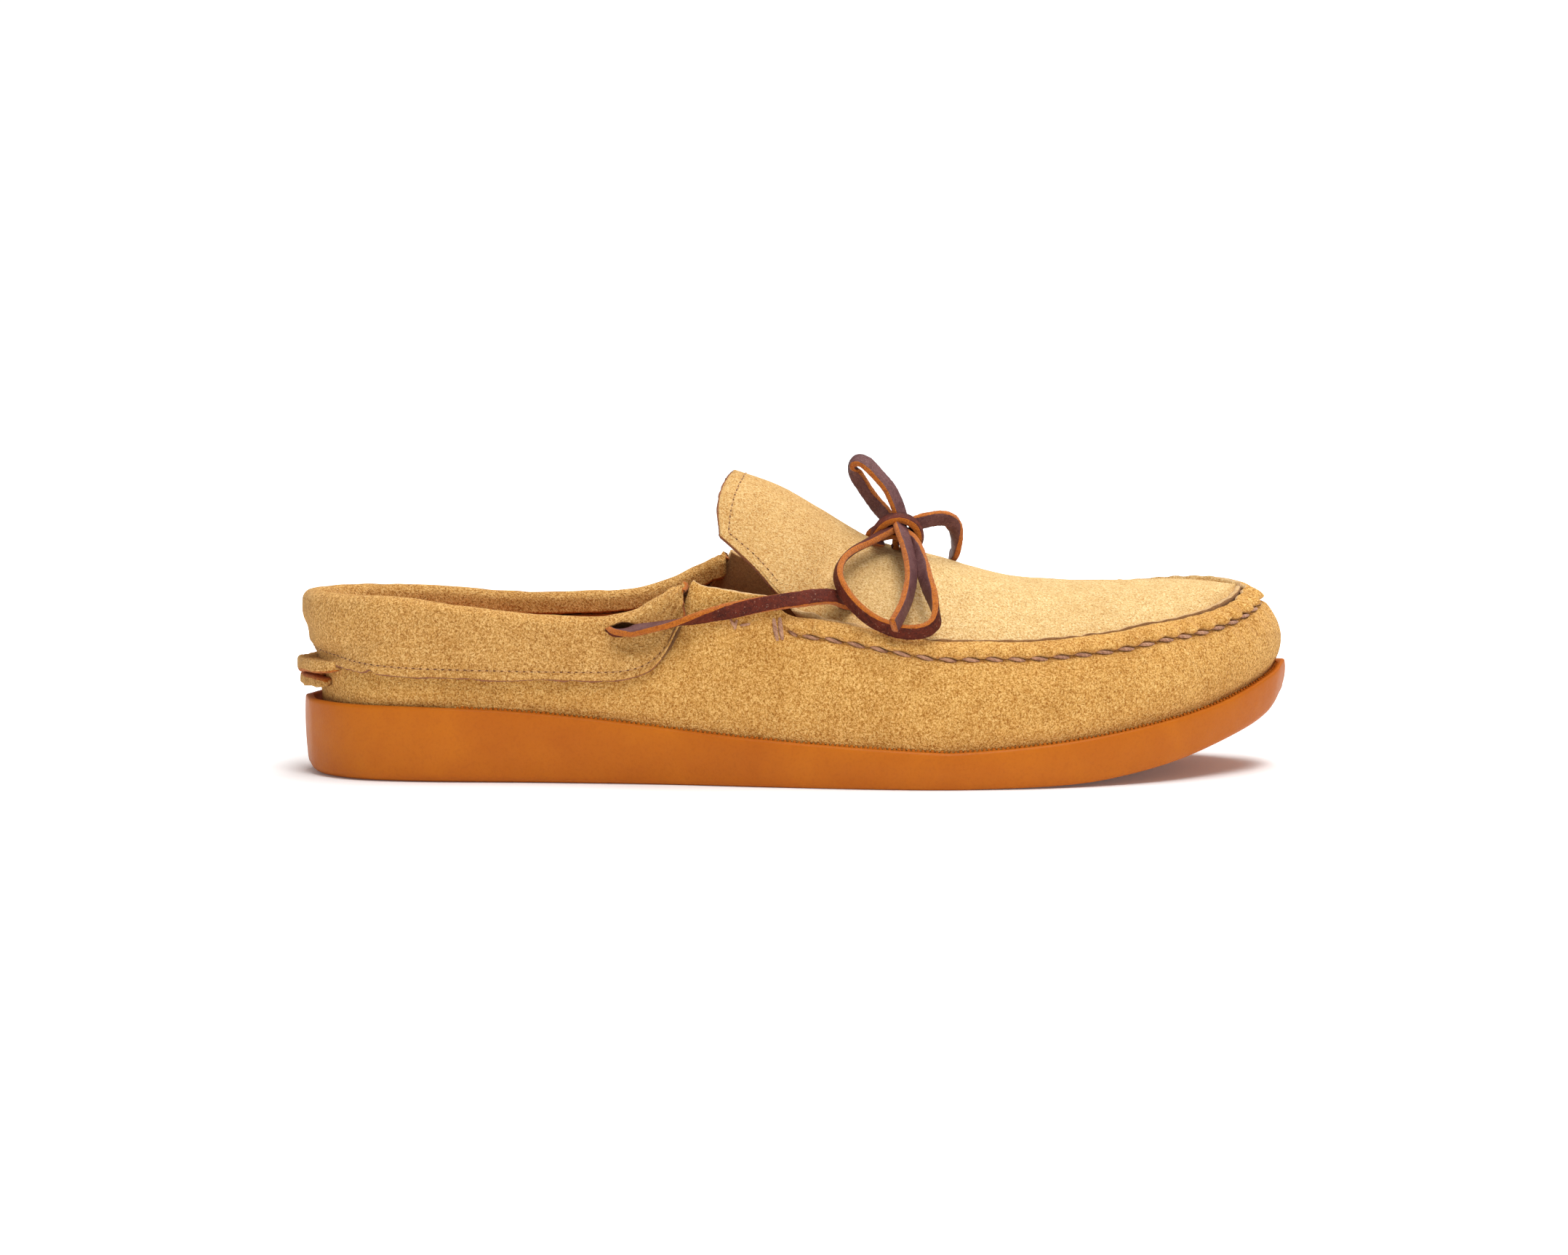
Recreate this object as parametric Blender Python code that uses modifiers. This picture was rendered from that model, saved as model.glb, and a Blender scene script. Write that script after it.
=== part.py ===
"""Camp moccasin, one right shoe: a suede moccasin upper with a hand-sewn apron, a standing tongue
and a rolled heel collar, a rawhide lace tied in a bow, and a moulded gum-rubber unit sole.

Lengths below are in millimetres; +X points to the toe, +Y to the medial side (the big toe's) and
+Z up. The sole stands on Z = 0. Everything hangs on one empty, which puts the middle of the shoe's
bottom at the world origin.
"""
import math

import bmesh
import bpy
import numpy as np
from mathutils import Vector

MM = 0.001
SHOE_NAME = "moccasin"
ORIGIN_X = -0.36  # the middle of the shoe between heel tab and toe, in the lengths below
ORIGIN_Y = -0.56

# --- driving dimensions -------------------------------------------------------------------------
SUEDE = 1.8  # thickness of the upper's leather
COLLAR_SUEDE = 1.4
LINING = 1.0
GAP = 0.35  # clearance kept between touching pieces
RIM_WIDTH = 2.2
RIM_HEIGHT = 3.0
FOAM = 4.0
SOCK = 1.2
ROLL_RADIUS = 3.3  # the collar's rolled top
HEEL_OVERHANG = 3.5  # how far the collar stands back past the heel's wall
LACE_RADIUS = 1.5
MOC_THREAD_RADIUS = 0.5
FINE_THREAD_RADIUS = 0.25
RIDGE_HEIGHT = 4.2  # from the hand-sewn stitches to the ridge's top

# Plan of the sole's edge, heel to toe on each side
LATERAL_EDGE = [
    (-143.2, 0), (-138.6, -17.0), (-126, -29.5), (-106, -34.8), (-75, -36.3), (-40, -39.8),
    (-5, -46.5), (25, -51.4), (47, -52), (75, -47.5), (103, -36.5), (125, -20.5), (139.2, -4.5),
    (144.6, 9),
]
MEDIAL_EDGE = [
    (-143.2, 0), (-138.6, 17.0), (-126, 28.8), (-106, 33), (-80, 31.8), (-50, 32.3), (-15, 37.8),
    (20, 46), (52, 51), (85, 48.8), (115, 40.8), (133.5, 30.5), (142.3, 20), (144.6, 9),
]
# Heights along the sole, as (x, z)
RIM_TOP = [
    (-143, 22.0), (-97, 21.2), (-64, 19.1), (-15, 13.9), (33, 10.8), (50, 10.7), (83, 13.8),
    (117, 20.2), (137, 27.5), (144, 31.5),
]
TREAD = [(46, 0), (75, 0.7), (91, 2.4), (109, 6.1), (127, 11.8), (137, 16.0), (144, 21.4)]
EDGE_ROUND = [(-143, 3.6), (-64, 1.9), (35, 0.8), (60, 0.8), (91, 1.2), (144, 2.6)]
# Top edge of the vamp, heel to toe on each side, as (x, y, z)
LATERAL_TOP = [
    (-138.0, 0, 41), (-132.6, -16, 41), (-121, -27.0, 40.5), (-104, -31.4, 39.8),
    (-84, -32.4, 38.6), (-64, -33.4, 38.2), (-48, -34.8, 39.6), (-38.2, -36.0, 44.6),
    (-33, -36.7, 49.0), (-31.2, -36.9, 50.8), (-29.2, -37.0, 57.4), (-26.6, -37.2, 56.0),
    (-21, -37.6, 54.9), (-13, -38.0, 53.9), (-7.5, -38.3, 53.0), (-4, -38.6, 49.4),
    (0.5, -38.9, 47.4), (8, -39.7, 46.6), (21, -41, 44.2), (38, -42, 41.1),
    (52, -41.6, 40.8), (67, -38.8, 40.6), (88, -32.5, 42.2), (100, -27.4, 44.3),
    (113, -19.8, 45.9), (123, -11.4, 48.2), (130, -1, 51.2), (132.6, 8, 53.2),
]
MEDIAL_TOP = [
    (-138.0, 0, 41), (-132.6, 16, 41), (-121, 26.2, 40.6), (-104, 29.8, 40.0), (-84, 29.6, 39.4),
    (-64, 29.8, 40.6), (-48, 31.4, 42.3), (-37, 33.0, 45.2), (-31, 34.0, 47.9), (-27, 34.6, 50.0),
    (-23.4, 35.1, 53.4), (-21.6, 35.3, 55.2), (-19.6, 35.4, 61.6), (-17, 35.7, 60.6),
    (-12, 36.3, 58.4), (-6.5, 37.0, 56.0), (-3, 37.4, 52.6), (1.5, 37.9, 50.8), (8, 38.6, 50.0),
    (21, 39.8, 48.6), (40, 41.2, 48.2), (60, 41.2, 49.0), (80, 39.4, 50.8), (97, 36, 52.6),
    (110, 31.6, 53.8), (121, 25, 54.6), (129, 17, 54.4), (132.6, 8, 53.2),
]
# How far the upper's wall swells out between the sole and its top edge, as (x, swell)
WALL_SWELL = [(-143, 0.6), (-60, 1.6), (0, 2.6), (60, 3.6), (120, 4.8), (144, 5.2)]
# Lower edge of the collar band, as (x, z)
COLLAR_LOW = [
    (-143, 34.2), (-132, 33.0), (-116, 30.6), (-90, 29.6), (-58, 29.3), (-46.6, 30.0),
    (-40.3, 32.4), (-35.6, 37.2), (-31.6, 45.0),
]
COLLAR_RISE = [
    (-143, 12.0), (-104, 11.6), (-64, 9.0), (-48, 8.8), (-37, 8.6), (-33, 6.6), (-30, 4.8),
]
COLLAR_END_X = -31.0  # on the lateral side
MEDIAL_LEAD = 9.6  # how much further forward the collar ends on the medial side
# The top panel's crown line from throat to toe, as (x, z)
CROWN = [
    (9, 75.2), (22.7, 67.4), (33, 64.2), (44, 61.4), (50, 59.4), (59, 56.6), (69, 54.8),
    (85, 53.7), (100, 53.5), (115, 53.7), (128, 53.3), (133, 52.6),
]
LINING_END_X = -41.0
SEAM_START_X = -2.4  # where the hand-sewn seam starts on each side
THROAT_X = 0.0  # where the top panel's rear edge meets the vamp
CROWN_LEAD = 9.0  # how much further forward the throat line is at the crown
TOE_END = 0.497  # where the top panel's last row lies, as a share of the way round the shoe
HINGE = (8.7, 0, 75.5)
TONGUE_CROWN = [(8.2, 0, 75.8), (1.5, 0, 79.9), (-8, 0, 83.9), (-17.6, 0, 87.1)]
TONGUE_BOW = 2.4  # how far the end's two halves curve back
TONGUE_LATERAL = [(-3.4, -35, 52.9), (-11, -30.2, 61.2), (-17, -27.2, 66.6), (-21.4, -25, 70.2)]
TONGUE_MEDIAL = [(-3.4, 33.8, 54.4), (-11, 29.2, 61.8), (-17, 26.6, 66.8), (-21.4, 25, 70.2)]

# The bow: its knot, and the lace's route in each stretch, as (x, y, z)
KNOT_CENTRE = (30.0, -6.5, 70.4)
KNOT_RADII = (7.4, 5.6, 5.2)
LATERAL_RUN = [
    (-58, -33.3, 43.2), (-54, -34.0, 43.0), (-50.5, -36.6, 42.7), (-45.5, -39.6, 43.6),
    (-37.6, -42.0, 45.2), (-29.8, -42.4, 46.8), (-19.4, -41.8, 49.2), (-9, -41.6, 51.2),
    (1.4, -40.8, 52.6), (10, -38.2, 53.4), (16, -35.2, 53.2), (19.2, -31.6, 52.4),
    (20.8, -26.2, 50.8), (21.4, -21.4, 53.4), (21.4, -16.6, 57.2), (21.2, -12.4, 61.6),
    (20.8, -10.8, 66.0), (20.6, -10.2, 69.6), (21.4, -9.4, 71.6),
]
MEDIAL_RUN = [
    (-58, 29.6, 46.1), (-54, 30.4, 46.0), (-50.5, 33.8, 45.8), (-45.5, 37.4, 46.6),
    (-37.6, 40.0, 48.2), (-29.8, 41.6, 49.8), (-19.4, 42.0, 52.2), (-9, 41.4, 54.0),
    (1.4, 40.2, 55.2), (10, 38.2, 55.6), (16, 35.0, 55.0), (19.2, 31.0, 54.0),
    (20.8, 26.2, 51.8), (21.4, 21.4, 54.0), (21.0, 16.8, 57.8), (20.2, 13.0, 62.4),
    (19.6, 11.2, 66.4), (19.6, 9.4, 70.0), (21.2, 5.6, 71.6),
]
NEAR_LOOP = [
    (21.8, -17.2, 67.6), (16.3, -23.6, 65.4), (12.8, -31.0, 61.8), (12.2, -37.8, 57.6),
    (15.4, -42.2, 52.2), (20.4, -43.8, 47.6), (26.0, -44.6, 44.8), (31.7, -45.4, 43.6),
    (36.6, -45.2, 44.4), (39.3, -43.2, 47.0), (38.8, -38.6, 51.6), (37.2, -32.8, 56.4),
    (36.0, -26.2, 60.8), (35.2, -19.4, 64.6),
]
FAR_LOOP = [
    (23.4, 1.6, 77.6), (20.6, 3.0, 81.5), (18.0, 3.8, 85.6), (17.0, 3.0, 88.4), (18.0, 0.8, 90.0),
    (20.6, -1.6, 89.4), (24.0, -3.6, 86.0), (27.6, -5.0, 81.6),
]
NEAR_TAIL = [(32.0, -20.6, 64.8), (32.6, -27.6, 60.6), (32.4, -34.2, 56.6), (31.0, -40.6, 52.2),
             (29.2, -45.8, 48.8), (27.2, -49.4, 45.8)]
FAR_TAIL = [(41.4, -3.0, 72.0), (44.6, 0.8, 71.6), (46.6, 4.4, 69.8), (47.2, 7.2, 67.0),
            (47.0, 9.0, 64.6), (46.4, 12.6, 62.6), (45.6, 18.0, 61.0)]

# Colours, as (red, green, blue), roughness and metallic
SUEDE_TAN = ((0.69, 0.37, 0.11), 0.95, 0.0)
SUEDE_PALE = ((0.80, 0.52, 0.22), 0.95, 0.0)
LEATHER_ORANGE = ((0.47, 0.17, 0.04), 0.55, 0.0)
GUM_RUBBER = ((0.50, 0.17, 0.03), 0.45, 0.0)
LACE_BROWN = ((0.13, 0.03, 0.015), 0.5, 0.0)
THREAD_MAUVE = ((0.42, 0.22, 0.16), 0.7, 0.0)
THREAD_TAN = ((0.45, 0.22, 0.08), 0.8, 0.0)
FOAM_GREY = ((0.6, 0.58, 0.52), 0.9, 0.0)


# --- curves and heights -------------------------------------------------------------------------
def smooth_line(points, per_span=16):
    """A dense polyline on a Catmull-Rom curve through the points."""
    p = np.array(points, float)
    p = np.vstack([2 * p[0] - p[1], p, 2 * p[-1] - p[-2]])
    t = np.linspace(0, 1, per_span, endpoint=False)[:, None]
    spans = []
    for a, b, c, d in zip(p[:-3], p[1:-2], p[2:-1], p[3:]):
        spans.append(
            0.5 * (2 * b + (c - a) * t + (2 * a - 5 * b + 4 * c - d) * t**2
                   + (3 * b - a - 3 * c + d) * t**3)
        )
    return np.vstack([*spans, p[-2]])


def along(line, fractions, axes=3):
    """Points at these fractions of a polyline's length, measured in its first axes."""
    steps = np.linalg.norm(np.diff(line[:, :axes], axis=0), axis=1)
    travelled = np.concatenate([[0], np.cumsum(steps)])
    wanted = np.asarray(fractions, float) * travelled[-1]
    return np.stack([np.interp(wanted, travelled, line[:, k]) for k in range(line.shape[1])], -1)


def profile(knots):
    """A smooth function of x through (x, value) knots, flat beyond its ends."""
    line = smooth_line(knots)
    return lambda x: np.interp(x, line[:, 0], line[:, 1])


rim_top = profile(RIM_TOP)
edge_round = profile(EDGE_ROUND)
wall_swell = profile(WALL_SWELL)
collar_low = profile(COLLAR_LOW)
collar_rise = profile(COLLAR_RISE)
crown_height = profile(CROWN)


def tread(x):
    """Height of the sole's bottom: flat from the heel to the ball, then the toe spring."""
    return np.where(np.asarray(x) <= TREAD[0][0], 0.0, np.interp(x, *smooth_line(TREAD).T))


def platform(x):
    """Height of the sole's floor inside its rim."""
    return rim_top(x) - RIM_HEIGHT


# --- the last: the shape that every piece is built round ----------------------------------------
LAST_POINTS = 401


def two_sides(lateral, medial, axes):
    """One line from the heel's middle round the lateral side to the toe and back on the medial."""
    fractions = np.linspace(0, 1, LAST_POINTS)
    a = along(smooth_line(lateral), fractions, axes)
    b = along(smooth_line(medial), fractions, axes)
    return np.vstack([a, b[-2::-1]])


SOLE_LINE = two_sides(LATERAL_EDGE, MEDIAL_EDGE, 2)
TOP_LINE = two_sides(LATERAL_TOP, MEDIAL_TOP, 2)


def round_tangent(line):
    step = np.roll(line[:-1], -6, 0) - np.roll(line[:-1], 6, 0)
    step = np.vstack([step, step[0]])
    return step / np.linalg.norm(step, axis=1, keepdims=True)


SOLE_TANGENT = round_tangent(SOLE_LINE)


def at(line, u):
    """The line's point at u, which runs from 0 at the heel through 0.5 at the toe to 1."""
    place = (np.asarray(u, float) % 1.0) * (len(line) - 1)
    return np.stack([np.interp(place, np.arange(len(line)), line[:, k])
                     for k in range(line.shape[1])], -1)


def outward(u):
    """The horizontal direction out of the shoe at u."""
    t = at(SOLE_TANGENT, u)
    n = np.stack([t[..., 1], -t[..., 0]], -1)
    return n / np.linalg.norm(n, axis=-1, keepdims=True)


def sole_point(u, inset, height, rise=0.0):
    """A point inset from the sole's edge, rise above what height(x) gives where it lies."""
    p = at(SOLE_LINE, u) - outward(u) * np.asarray(inset, float)[..., None]
    z = height(p[..., 0]) + rise
    return np.concatenate([p, z[..., None]], -1)


def sole_x(u):
    return at(SOLE_LINE, u)[..., 0]


def heel_gap(u):
    """The upper stands back from the rim behind the heel."""
    return 2.0 * np.exp(-(((sole_x(u) + 143.2) / 13.0) ** 2))


def wall(u, t):
    """The upper's outer surface: t is 0 just above the sole's rim and 1 at the vamp's top edge."""
    u = np.asarray(u, float)
    x = sole_x(u)
    foot = sole_point(u, RIM_WIDTH + 0.6 + heel_gap(u), rim_top, 1.0)
    top = at(TOP_LINE, u)
    p = foot + (top - foot) * t
    p[..., :2] += outward(u) * (wall_swell(x) * 4 * t * (1 - t))[..., None]
    return p


def wall_at_height(u, z):
    """The upper's outer surface at u and height z, or its top edge if that is lower."""
    steps = np.array([wall(u, t) for t in np.linspace(0, 1, 25)])
    z = min(max(z, steps[0, 2]), steps[-1, 2])
    return np.array([np.interp(z, steps[:, 2], steps[:, k]) for k in range(3)])


def u_at_x(x, medial=False, line=None):
    """The u at which the given line, or the vamp's top edge, passes x on that side."""
    line = TOP_LINE if line is None else line
    half = LAST_POINTS - 1
    places = np.arange(len(line)) / (2 * half)
    if medial:
        return float(np.interp(x, line[half:, 0][::-1], places[half:][::-1]))
    return float(np.interp(x, line[:half + 1, 0], places[:half + 1]))


# --- building objects ---------------------------------------------------------------------------
def clear_scene():
    for o in list(bpy.data.objects):
        bpy.data.objects.remove(o, do_unlink=True)


def new_collection(name):
    c = bpy.data.collections.new(name)
    bpy.context.scene.collection.children.link(c)
    return c


def material(name, look):
    m = bpy.data.materials.get(name)
    if m is None:
        colour, roughness, metallic = look
        m = bpy.data.materials.new(name)
        m.use_nodes = True
        shader = m.node_tree.nodes["Principled BSDF"]
        shader.inputs["Base Color"].default_value = (*colour, 1)
        shader.inputs["Roughness"].default_value = roughness
        shader.inputs["Metallic"].default_value = metallic
        m.diffuse_color = (*colour, 1)
    return m


def place(obj, look):
    """Puts a finished object in the shoe, with a material of its own."""
    obj.data.materials.append(material(obj.name + "_material", look))
    parts.objects.link(obj)
    obj.parent = root
    return obj


def mesh_object(name, points, faces):
    """A mesh object from points in millimetres, with its faces turned the same way."""
    mesh = bpy.data.meshes.new(name)
    mesh.from_pydata([tuple(float(c) * MM for c in p) for p in points], [], faces)
    bm = bmesh.new()
    bm.from_mesh(mesh)
    bmesh.ops.recalc_face_normals(bm, faces=bm.faces)
    bm.to_mesh(mesh)
    bm.free()
    mesh.shade_smooth()
    return bpy.data.objects.new(name, mesh)


def ring_faces(rows, count):
    """Quads between successive closed rings of count points."""
    return [(r * count + i, r * count + (i + 1) % count,
             (r + 1) * count + (i + 1) % count, (r + 1) * count + i)
            for r in range(rows - 1) for i in range(count)]


def foot_faces(first, count):
    """Closes one ring across the foot: each point on the lateral side with its medial partner."""
    faces = []
    for i in range(count // 2):
        a, b = first + i, first + i + 1
        c, d = first + (count - i - 1) % count, first + (count - i) % count
        faces.append(tuple(dict.fromkeys((a, b, c, d))))
    return faces


def foot_solid(name, rings):
    """A closed solid from rings that start and end across the foot."""
    count = len(rings[0])
    faces = ring_faces(len(rings), count) + foot_faces(0, count)
    faces += foot_faces((len(rings) - 1) * count, count)
    return mesh_object(name, np.vstack(rings), faces)


def grid_sheet(name, rows, thickness, side):
    """An open sheet from equal rows of points, thickened on the side away from that direction."""
    count = len(rows[0])
    faces = [(r * count + i, r * count + i + 1, (r + 1) * count + i + 1, (r + 1) * count + i)
             for r in range(len(rows) - 1) for i in range(count - 1)]
    obj = mesh_object(name, np.vstack(rows), faces)
    return thicken(obj, thickness, side)


def thicken(obj, thickness, side):
    """Solidify away from side, a function of a face's centre that says which way is out."""
    mesh = obj.data
    votes = sum(f.normal.dot(Vector(side(f.center / MM))) * f.area for f in mesh.polygons)
    if votes < 0:
        mesh.flip_normals()
    m = obj.modifiers.new("leather", "SOLIDIFY")
    m.thickness = thickness * MM
    m.offset = -1
    m.use_even_offset = True
    return obj


def tube(name, points, radius, count, look=None, sides=2, closed=False):
    """A round tube on a smooth curve through the points, in millimetres."""
    line = along(smooth_line(points), np.linspace(0, 1, count))
    curve = bpy.data.curves.new(name, "CURVE")
    curve.dimensions = "3D"
    curve.bevel_depth = radius * MM
    curve.bevel_resolution = sides
    curve.use_fill_caps = True
    spline = curve.splines.new("POLY")
    spline.points.add(count - 1)
    for p, q in zip(spline.points, line):
        p.co = (*(q * MM), 1)
    obj = bpy.data.objects.new(name, curve)
    return obj if look is None else place(obj, look)


def as_mesh(curve_object):
    """The curve object as a closed mesh object of the same name."""
    name = curve_object.name
    bpy.context.scene.collection.objects.link(curve_object)
    bpy.context.view_layer.update()
    evaluated = curve_object.evaluated_get(bpy.context.evaluated_depsgraph_get())
    mesh = bpy.data.meshes.new_from_object(evaluated)
    bpy.data.objects.remove(curve_object)
    bm = bmesh.new()
    bm.from_mesh(mesh)
    bmesh.ops.remove_doubles(bm, verts=bm.verts, dist=0.00001)
    bmesh.ops.recalc_face_normals(bm, faces=bm.faces)
    bm.to_mesh(mesh)
    bm.free()
    return bpy.data.objects.new(name, mesh)


def cut(obj, name, points, radius):
    """Cuts a round passage along the points through obj."""
    cutter = as_mesh(tube(name, points, radius, 7, sides=1))
    cutter.name = name
    cutters.objects.link(cutter)
    cutter.parent = root
    cutter.hide_render = True
    cutter.display_type = "WIRE"
    m = obj.modifiers.new(name, "BOOLEAN")
    m.operation = "DIFFERENCE"
    m.solver = "EXACT"
    m.object = cutter


# --- the sole -----------------------------------------------------------------------------------
SOLE_SECTIONS = 64
WING_SECTIONS = 5  # sections added on each side where the vamp rises in front of the collar


def outsole():
    u = np.arange(SOLE_SECTIONS) / SOLE_SECTIONS
    x = sole_x(u)
    lift = edge_round(x)
    one = np.ones_like(x)
    rings = [
        sole_point(u, 0.8 + 1.1 * lift, tread),
        sole_point(u, 0.7 + 0.35 * lift, tread, 0.35 * lift),
        sole_point(u, 0.6 * one, tread, lift),
        sole_point(u, 0.0 * one, rim_top, -1.0),
        sole_point(u, 0.5 * one, rim_top),
        sole_point(u, RIM_WIDTH * one, rim_top),
        sole_point(u, (RIM_WIDTH + 0.2) * one, platform),
    ]
    place(foot_solid("outsole", rings), GUM_RUBBER)


def foot_slab(name, look, inset, low, high):
    """A flat layer inside the upper, between two heights above the sole's floor."""
    u = np.arange(SOLE_SECTIONS) / SOLE_SECTIONS
    edge = inset + heel_gap(u)
    rings = [sole_point(u, edge + 0.5, platform, low), sole_point(u, edge, platform, high)]
    place(foot_solid(name, rings), look)


def footbed():
    low = GAP + SUEDE + GAP
    inset = RIM_WIDTH + 1.7 + SUEDE + 0.6
    foot_slab("footbed_foam", FOAM_GREY, inset, low, low + FOAM)
    foot_slab("sock_lining", LEATHER_ORANGE, inset, low + FOAM + GAP, low + FOAM + GAP + SOCK)


# --- the upper ----------------------------------------------------------------------------------
def away_from_foot(p):
    """Out of the shoe's middle line, which is what the upper's outer face looks away from."""
    middle_x = min(max(p[0], -105.0), 95.0)
    return Vector((p[0] - middle_x, p[1], (p[2] - 27.0) * 1.2))


def vamp_stations():
    """Places round the shoe, the same on both sides, closer together at the vamp's wings."""
    lateral = list(np.arange(1, SOLE_SECTIONS // 2) / SOLE_SECTIONS)
    first, last = u_at_x(-36.0), u_at_x(2.0)
    lateral = [u for u in lateral if not first - 0.006 < u < last + 0.006]
    lateral = sorted(lateral + list(np.linspace(first, last, WING_SECTIONS + 5)))
    return np.array([0.0, *lateral, 0.5, *[1 - u for u in lateral[::-1]]])


def vamp():
    u = vamp_stations()
    gap = heel_gap(u)
    rings = [
        sole_point(u, RIM_WIDTH + 1.7 + gap, platform, GAP),
        sole_point(u, RIM_WIDTH + 0.7 + gap, platform, GAP + 1.4),
        wall(u, 0.0), wall(u, 0.2), wall(u, 0.45), wall(u, 0.72), wall(u, 1.0),
    ]
    faces = ring_faces(len(rings), len(u)) + foot_faces(0, len(u))
    obj = mesh_object("vamp", np.vstack(rings), faces)
    place(thicken(obj, SUEDE, away_from_foot), SUEDE_TAN)


def panel_row(lateral, medial, crown, count, fullness):
    """One row across the top panel, arched from edge to edge through its crown point."""
    lateral, medial, crown = (np.array(p, float) for p in (lateral, medial, crown))
    w = np.sin(np.linspace(-math.pi / 2, math.pi / 2, count))[:, None]
    middle, half = (lateral + medial) / 2, (medial - lateral) / 2
    rise = 1 - np.abs(w) ** fullness
    return middle + half * w + rise * (crown - middle)


def panel_edge(u):
    """The top panel's edge against the ridge's inner face."""
    p = at(TOP_LINE, u).copy()
    p[:2] -= outward(u) * (SUEDE + 0.7)
    p[2] -= 1.0
    return p


def apron():
    start, far_start = u_at_x(THROAT_X), u_at_x(THROAT_X, medial=True)
    rows = []
    for f in np.linspace(0, 1, 18):
        lateral = panel_edge(start + (TOE_END - start) * f)
        medial = panel_edge(far_start + (1 - TOE_END - far_start) * f)
        lead = CROWN_LEAD * max(0.0, 1 - max(lateral[0], 0) / 36.0) ** 1.5
        x = (lateral[0] + medial[0]) / 2 + lead
        crown = (x, (lateral[1] + medial[1]) / 2, float(crown_height(x)))
        rows.append(panel_row(lateral, medial, crown, 13, 2.0 + 0.6 * f))
    obj = grid_sheet("apron", rows, SUEDE, lambda p: (0, 0, 1))
    for side, route in (("lateral", LATERAL_RUN), ("medial", MEDIAL_RUN)):
        cut(obj, f"{side}_eyelet_cutter", route[10:14], LACE_RADIUS + 0.7)
        cut(obj, f"{side}_upper_eyelet_cutter", route[14:18], LACE_RADIUS + 0.7)
    place(obj, SUEDE_PALE)


def tongue_rows(count):
    lines = (TONGUE_LATERAL, TONGUE_MEDIAL, TONGUE_CROWN)
    share = np.linspace(0, 1, 8)
    sides = [along(smooth_line(points), share) for points in lines]
    rows = [panel_row(a, b, c, count, 2.0) for a, b, c in zip(*sides)]
    for f, row in zip(share, rows):
        row[:, 0] -= TONGUE_BOW * f**3 * np.abs(np.sin(np.linspace(-math.pi, math.pi, count)))
    return rows


def tongue():
    obj = grid_sheet("tongue", tongue_rows(13), SUEDE, lambda p: (0, 0, 1))
    move_origin(place(obj, SUEDE_PALE), HINGE)


def move_origin(obj, point):
    """Puts the object's origin, on which it turns, at a point without moving its shape."""
    shift = Vector(point) * MM
    for v in obj.data.vertices:
        v.co -= shift
    obj.location = shift


# --- the collar ---------------------------------------------------------------------------------
def collar_x(u, x):
    """The x to look up in the collar's tables: its medial front end lies further forward."""
    return x - MEDIAL_LEAD * min(max((x + 95.0) / 45.0, 0.0), 1.0) * (u > 0.5)


def collar_depth(back):
    """How far the collar reaches down inside the shoe, more so round the heel."""
    return 6.2 + 6.3 * back


def collar_crest(u):
    """The middle of the collar's rolled top at u, and the direction out of the shoe."""
    top, n = at(TOP_LINE, u), outward(u)
    back = math.exp(-(((top[0] + 138.0) / 12.0) ** 2))
    xy = top[:2] + n * (HEEL_OVERHANG * back - SUEDE / 2)
    return np.array([*xy, top[2] + float(collar_rise(collar_x(u, top[0])))]), n, back


def collar_section(u):
    """The collar's outer face from its lower edge over the roll and down inside the shoe."""
    crest, n, back = collar_crest(u)
    roll_z = crest[2] - ROLL_RADIUS
    low = min(float(collar_low(collar_x(u, crest[0]))), roll_z - 1.0)

    def point(offset, z):
        return np.array([*(crest[:2] + n * offset), z])

    def clear_of_wall(z):
        out = float(np.dot(wall_at_height(u, z)[:2] - crest[:2], n))
        return max(out + GAP + COLLAR_SUEDE + 0.25, 0.0)

    waist, belly = low + 0.3 * (roll_z - low), low + 0.66 * (roll_z - low)
    section = [point(clear_of_wall(low), low), point(clear_of_wall(waist), waist),
               point(max(ROLL_RADIUS - 0.3, clear_of_wall(belly)), belly),
               point(max(ROLL_RADIUS, clear_of_wall(roll_z - 1.5)), roll_z - 0.5)]
    for a in (25, 60, 90, 120, 155):
        angle = math.radians(a)
        section.append(point(ROLL_RADIUS * math.cos(angle), roll_z + ROLL_RADIUS * math.sin(angle)))
    inner = ROLL_RADIUS + (HEEL_OVERHANG - 0.1) * back
    inner_edge = crest[2] - collar_depth(back)
    section += [point(-(ROLL_RADIUS + 0.8 * back), roll_z - 0.5),
                point(-inner, inner_edge + 1.0 + 3.5 * back), point(-inner, inner_edge)]
    return section


def collar_stations(count):
    """u along the collar, from its lateral end round the heel to its medial end."""
    a, b = u_at_x(COLLAR_END_X), u_at_x(COLLAR_END_X + MEDIAL_LEAD, medial=True)
    return [u % 1.0 for u in np.linspace(a, b - 1, count)]


def out_of_roll(p):
    """Away from the middle of the rolled top, which is the side that a hand feels."""
    best = min(COLLAR_CRESTS, key=lambda c: (c[0] - p[0]) ** 2 + (c[1] - p[1]) ** 2)
    return Vector((p[0] - best[0], p[1] - best[1], max(p[2] - best[2] + ROLL_RADIUS, 0)))


COLLAR_CRESTS = [collar_crest(u)[0] for u in collar_stations(61)]


def collar():
    rows = [collar_section(u) for u in collar_stations(47)]
    obj = grid_sheet("collar", rows, COLLAR_SUEDE, out_of_roll)
    cut(obj, "lateral_slot_cutter", LATERAL_RUN[0:5], LACE_RADIUS + 0.6)
    cut(obj, "medial_slot_cutter", MEDIAL_RUN[0:5], LACE_RADIUS + 0.6)
    place(obj, SUEDE_TAN)


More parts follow.
